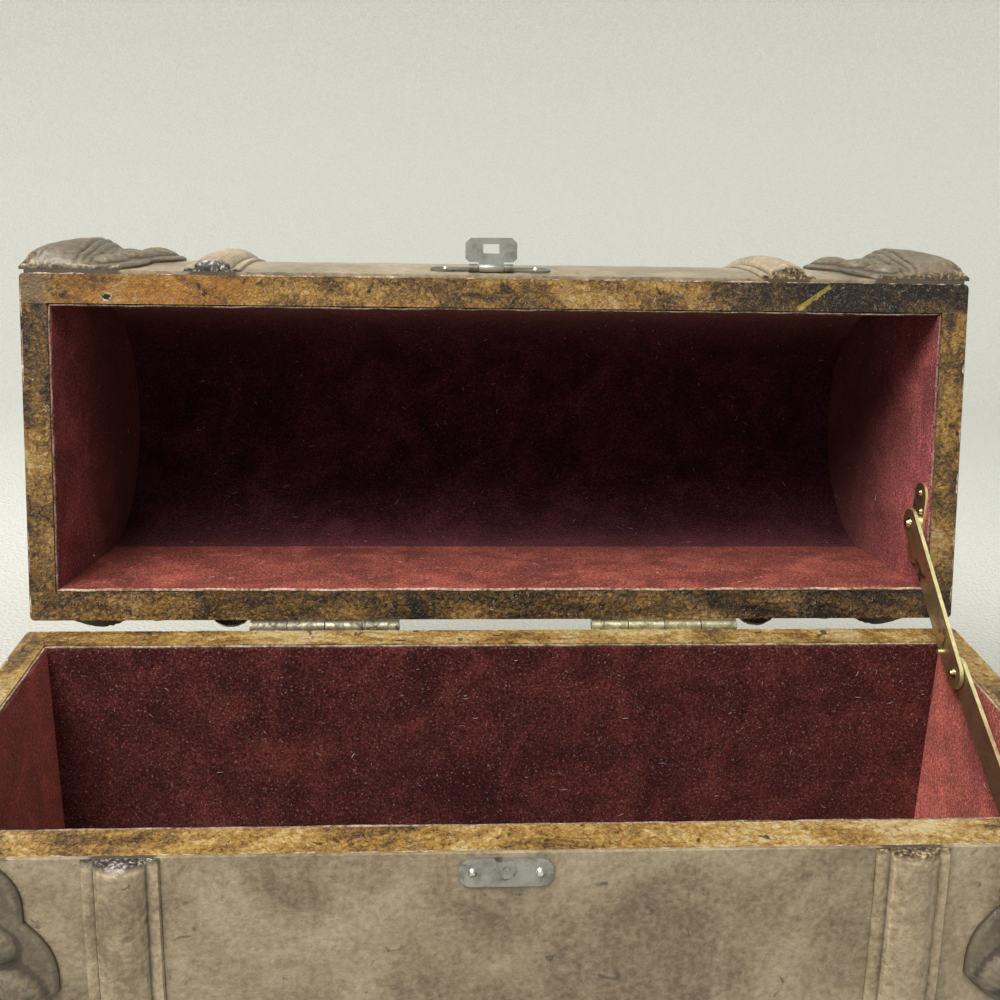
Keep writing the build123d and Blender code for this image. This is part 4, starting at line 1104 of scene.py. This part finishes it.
pin_low, pin_high = (Vector(corner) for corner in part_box("hasp_pin"))
pin_middle = (pin_low + pin_high) / 2
flap_left = [
    (-FLAP_HALF + FLAP_CUT, FLAP_FAR), (-FLAP_HALF, FLAP_FAR - FLAP_CUT),
    (-FLAP_HALF, FLAP_NEAR + NECK_RISE), (-NECK_HALF, FLAP_NEAR),
    (-KNUCKLE_HALF, FLAP_NEAR), (-KNUCKLE_HALF, NECK_RISE),
]
flap_outline = flap_left + [(-x, y) for x, y in reversed(flap_left)]
flap_slot = [
    (-SLOT_HALF, SLOT_LOW), (SLOT_HALF, SLOT_LOW), (SLOT_HALF, SLOT_HIGH), (-SLOT_HALF, SLOT_HIGH)
]
flap_side = (LID_TURN.to_3x3() @ Vector((0, -1, 0))).normalized()
flap_turn = Matrix((Vector((1, 0, 0)), flap_side, Vector((1, 0, 0)).cross(flap_side))).transposed()
flap_place = Matrix.Translation(pin_middle) @ flap_turn.to_4x4()
flap = cut_sheet("hasp_leaf", flap_outline, [flap_slot], flap_place, "steel")


def rolled(name, place, slot):
    """A rolled knuckle: a short pipe along X with softened ends."""
    left_end = [
        (-KNUCKLE_HALF, KNUCKLE_RADIUS - KNUCKLE_SOFT), (-KNUCKLE_HALF + KNUCKLE_SOFT, KNUCKLE_RADIUS)
    ]
    profile = left_end + [(-x, radius) for x, radius in reversed(left_end)]
    profile += [(KNUCKLE_HALF, PIN_HOLE), (-KNUCKLE_HALF, PIN_HOLE)]
    count = len(profile)
    points, faces = [], []
    for k, (c, s) in enumerate(circle(KNUCKLE_SIDES)):
        points += [place @ (Vector((x, radius * c, radius * s)) * MM) / MM for x, radius in profile]
        a, b = k * count, (k + 1) % KNUCKLE_SIDES * count
        for i in range(count):
            after = (i + 1) % count
            faces.append((a + i, b + i, b + after, a + after))
    piece_from(name, points, faces, slot, slot)


rolled("hasp_leaf_knuckle", flap_place, "steel")
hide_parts("hasp_flap")

# -------- boards and metal keep their solids
METAL_SOFT, WOOD_SOFT, HEAD_SOFT = 0.18, 0.6, 0.42
for name, node in nodes.items():
    if node.hide_render or "lining" in name:
        continue
    width, segments = METAL_SOFT, 2
    if "board" in name or "crown" in name:
        width = WOOD_SOFT
    elif name.endswith("_nails") or "rivet" in name:
        width, segments = HEAD_SOFT, 4
    softened = node.modifiers.new("worn_edges", "BEVEL")
    softened.width = width * MM
    softened.segments = segments
    softened.limit_method = "ANGLE"
    softened.angle_limit = radians(40)
    softened.harden_normals = False

# -------- room, light and camera
ROOM_FLOOR, ROOM_BEND, ROOM_HEIGHT, ROOM_SIDES, BEND_STEPS = 0.9, 0.6, 1.5, 96, 16
WALL_TONES = ((0.36, (0.86, 0.855, 0.77)), (0.62, (0.98, 0.975, 0.89)))
LIT_LOW_TONES = ((0.36, (0.94, 0.935, 0.86)), (0.62, (1.0, 0.995, 0.93)))
BOX_SHADOW_TONE, LIGHTING_TONE = (0.68, 0.67, 0.60), (0.42, 0.42, 0.40)
LAMP_PLACE, LAMP_TARGET, LAMP_SIZE, LAMP_POWER = (-0.42, -0.46, 1.30), (0, 0.05, 0.15), 0.75, 24
CAMERA_PLACE, CAMERA_ANGLES = (-0.01936, -0.27408, 0.29458), (73.7870, -1.1625, -2.7516)
CAMERA_LENS, CAMERA_SHIFT = 40.37, -0.08


def plaster():
    """Pale plaster with painted light: brighter low down, a painted shadow darker close to the box, and
    grey in the light that it throws on the box.
    """
    n = Nodes("plaster")
    grain = n.noise(420, 4, 0.6)
    # Painted light: the plaster is brighter low down.
    low = n.span(n.axis("Z"), 0.55, 0.10)
    colour = n.laid(n.ramp(grain, *WALL_TONES), n.ramp(grain, *LIT_LOW_TONES), low)
    # Painted shadow: darker close to the box.
    away = n.add("ShaderNodeVectorMath", operation="LENGTH")
    n.link(n.coords, away.inputs[0])
    colour = n.laid(colour, BOX_SHADOW_TONE, n.span(away.outputs["Value"], 0.58, 0.28))
    ray = n.add("ShaderNodeLightPath").outputs
    seen = n.math("MAXIMUM", ray["Is Camera Ray"], ray["Is Glossy Ray"])
    seen = n.math("MAXIMUM", seen, ray["Is Transmission Ray"])
    n.finish(n.laid(LIGHTING_TONE, colour, seen), 0.85, n.bump(grain, 0.003, 0.8))


def room():
    """A floor that bends up into a wall all round, so that no line shows between them."""
    profile = [(0.0, 0.0), (ROOM_FLOOR * 0.5, 0.0), (ROOM_FLOOR, 0.0)]
    for k in range(1, BEND_STEPS + 1):
        turn = pi / 2 * k / BEND_STEPS
        profile.append((ROOM_FLOOR + ROOM_BEND * sin(turn), ROOM_BEND * (1 - cos(turn))))
    profile.append((ROOM_FLOOR + ROOM_BEND, ROOM_HEIGHT))
    count = len(profile)
    points, faces = [], []
    for k, (c, s) in enumerate(circle(ROOM_SIDES)):
        points += [(r * c, r * s, z) for r, z in profile]
        a, b = k * count, (k + 1) % ROOM_SIDES * count
        faces += [(a + i, b + i, b + i + 1, a + i + 1) for i in range(count - 1)]
    mesh = bpy.data.meshes.new("room")
    mesh.from_pydata(points, [], faces)
    mesh.shade_smooth()
    mesh.materials.append(finish_of["plaster"])
    added("room", mesh)


plaster()
room()

light = bpy.data.lights.new("window", "AREA")
light.size = LAMP_SIZE
light.energy = LAMP_POWER
light.color = (1.0, 0.985, 0.95)
lamp = added("window", light)
lamp.location = LAMP_PLACE
lamp.rotation_mode = "QUATERNION"
lamp.rotation_quaternion = (Vector(LAMP_TARGET) - Vector(LAMP_PLACE)).to_track_quat("-Z", "Y")

world = bpy.data.worlds.new("studio")
bpy.context.scene.world = world
world.use_nodes = True
background = world.node_tree.nodes["Background"].inputs
background["Color"].default_value = (0.97, 1.0, 0.97, 1)
background["Strength"].default_value = 0.5

camera = bpy.data.cameras.new("camera")
camera.sensor_width = 36
camera.lens = CAMERA_LENS
camera.shift_y = CAMERA_SHIFT
camera.clip_start = 0.01
viewer = added("camera", camera)
turn = Euler([radians(angle) for angle in CAMERA_ANGLES])
viewer.matrix_world = Matrix.Translation(CAMERA_PLACE) @ turn.to_matrix().to_4x4()
bpy.context.scene.camera = viewer
bpy.context.scene.view_settings.view_transform = "Standard"
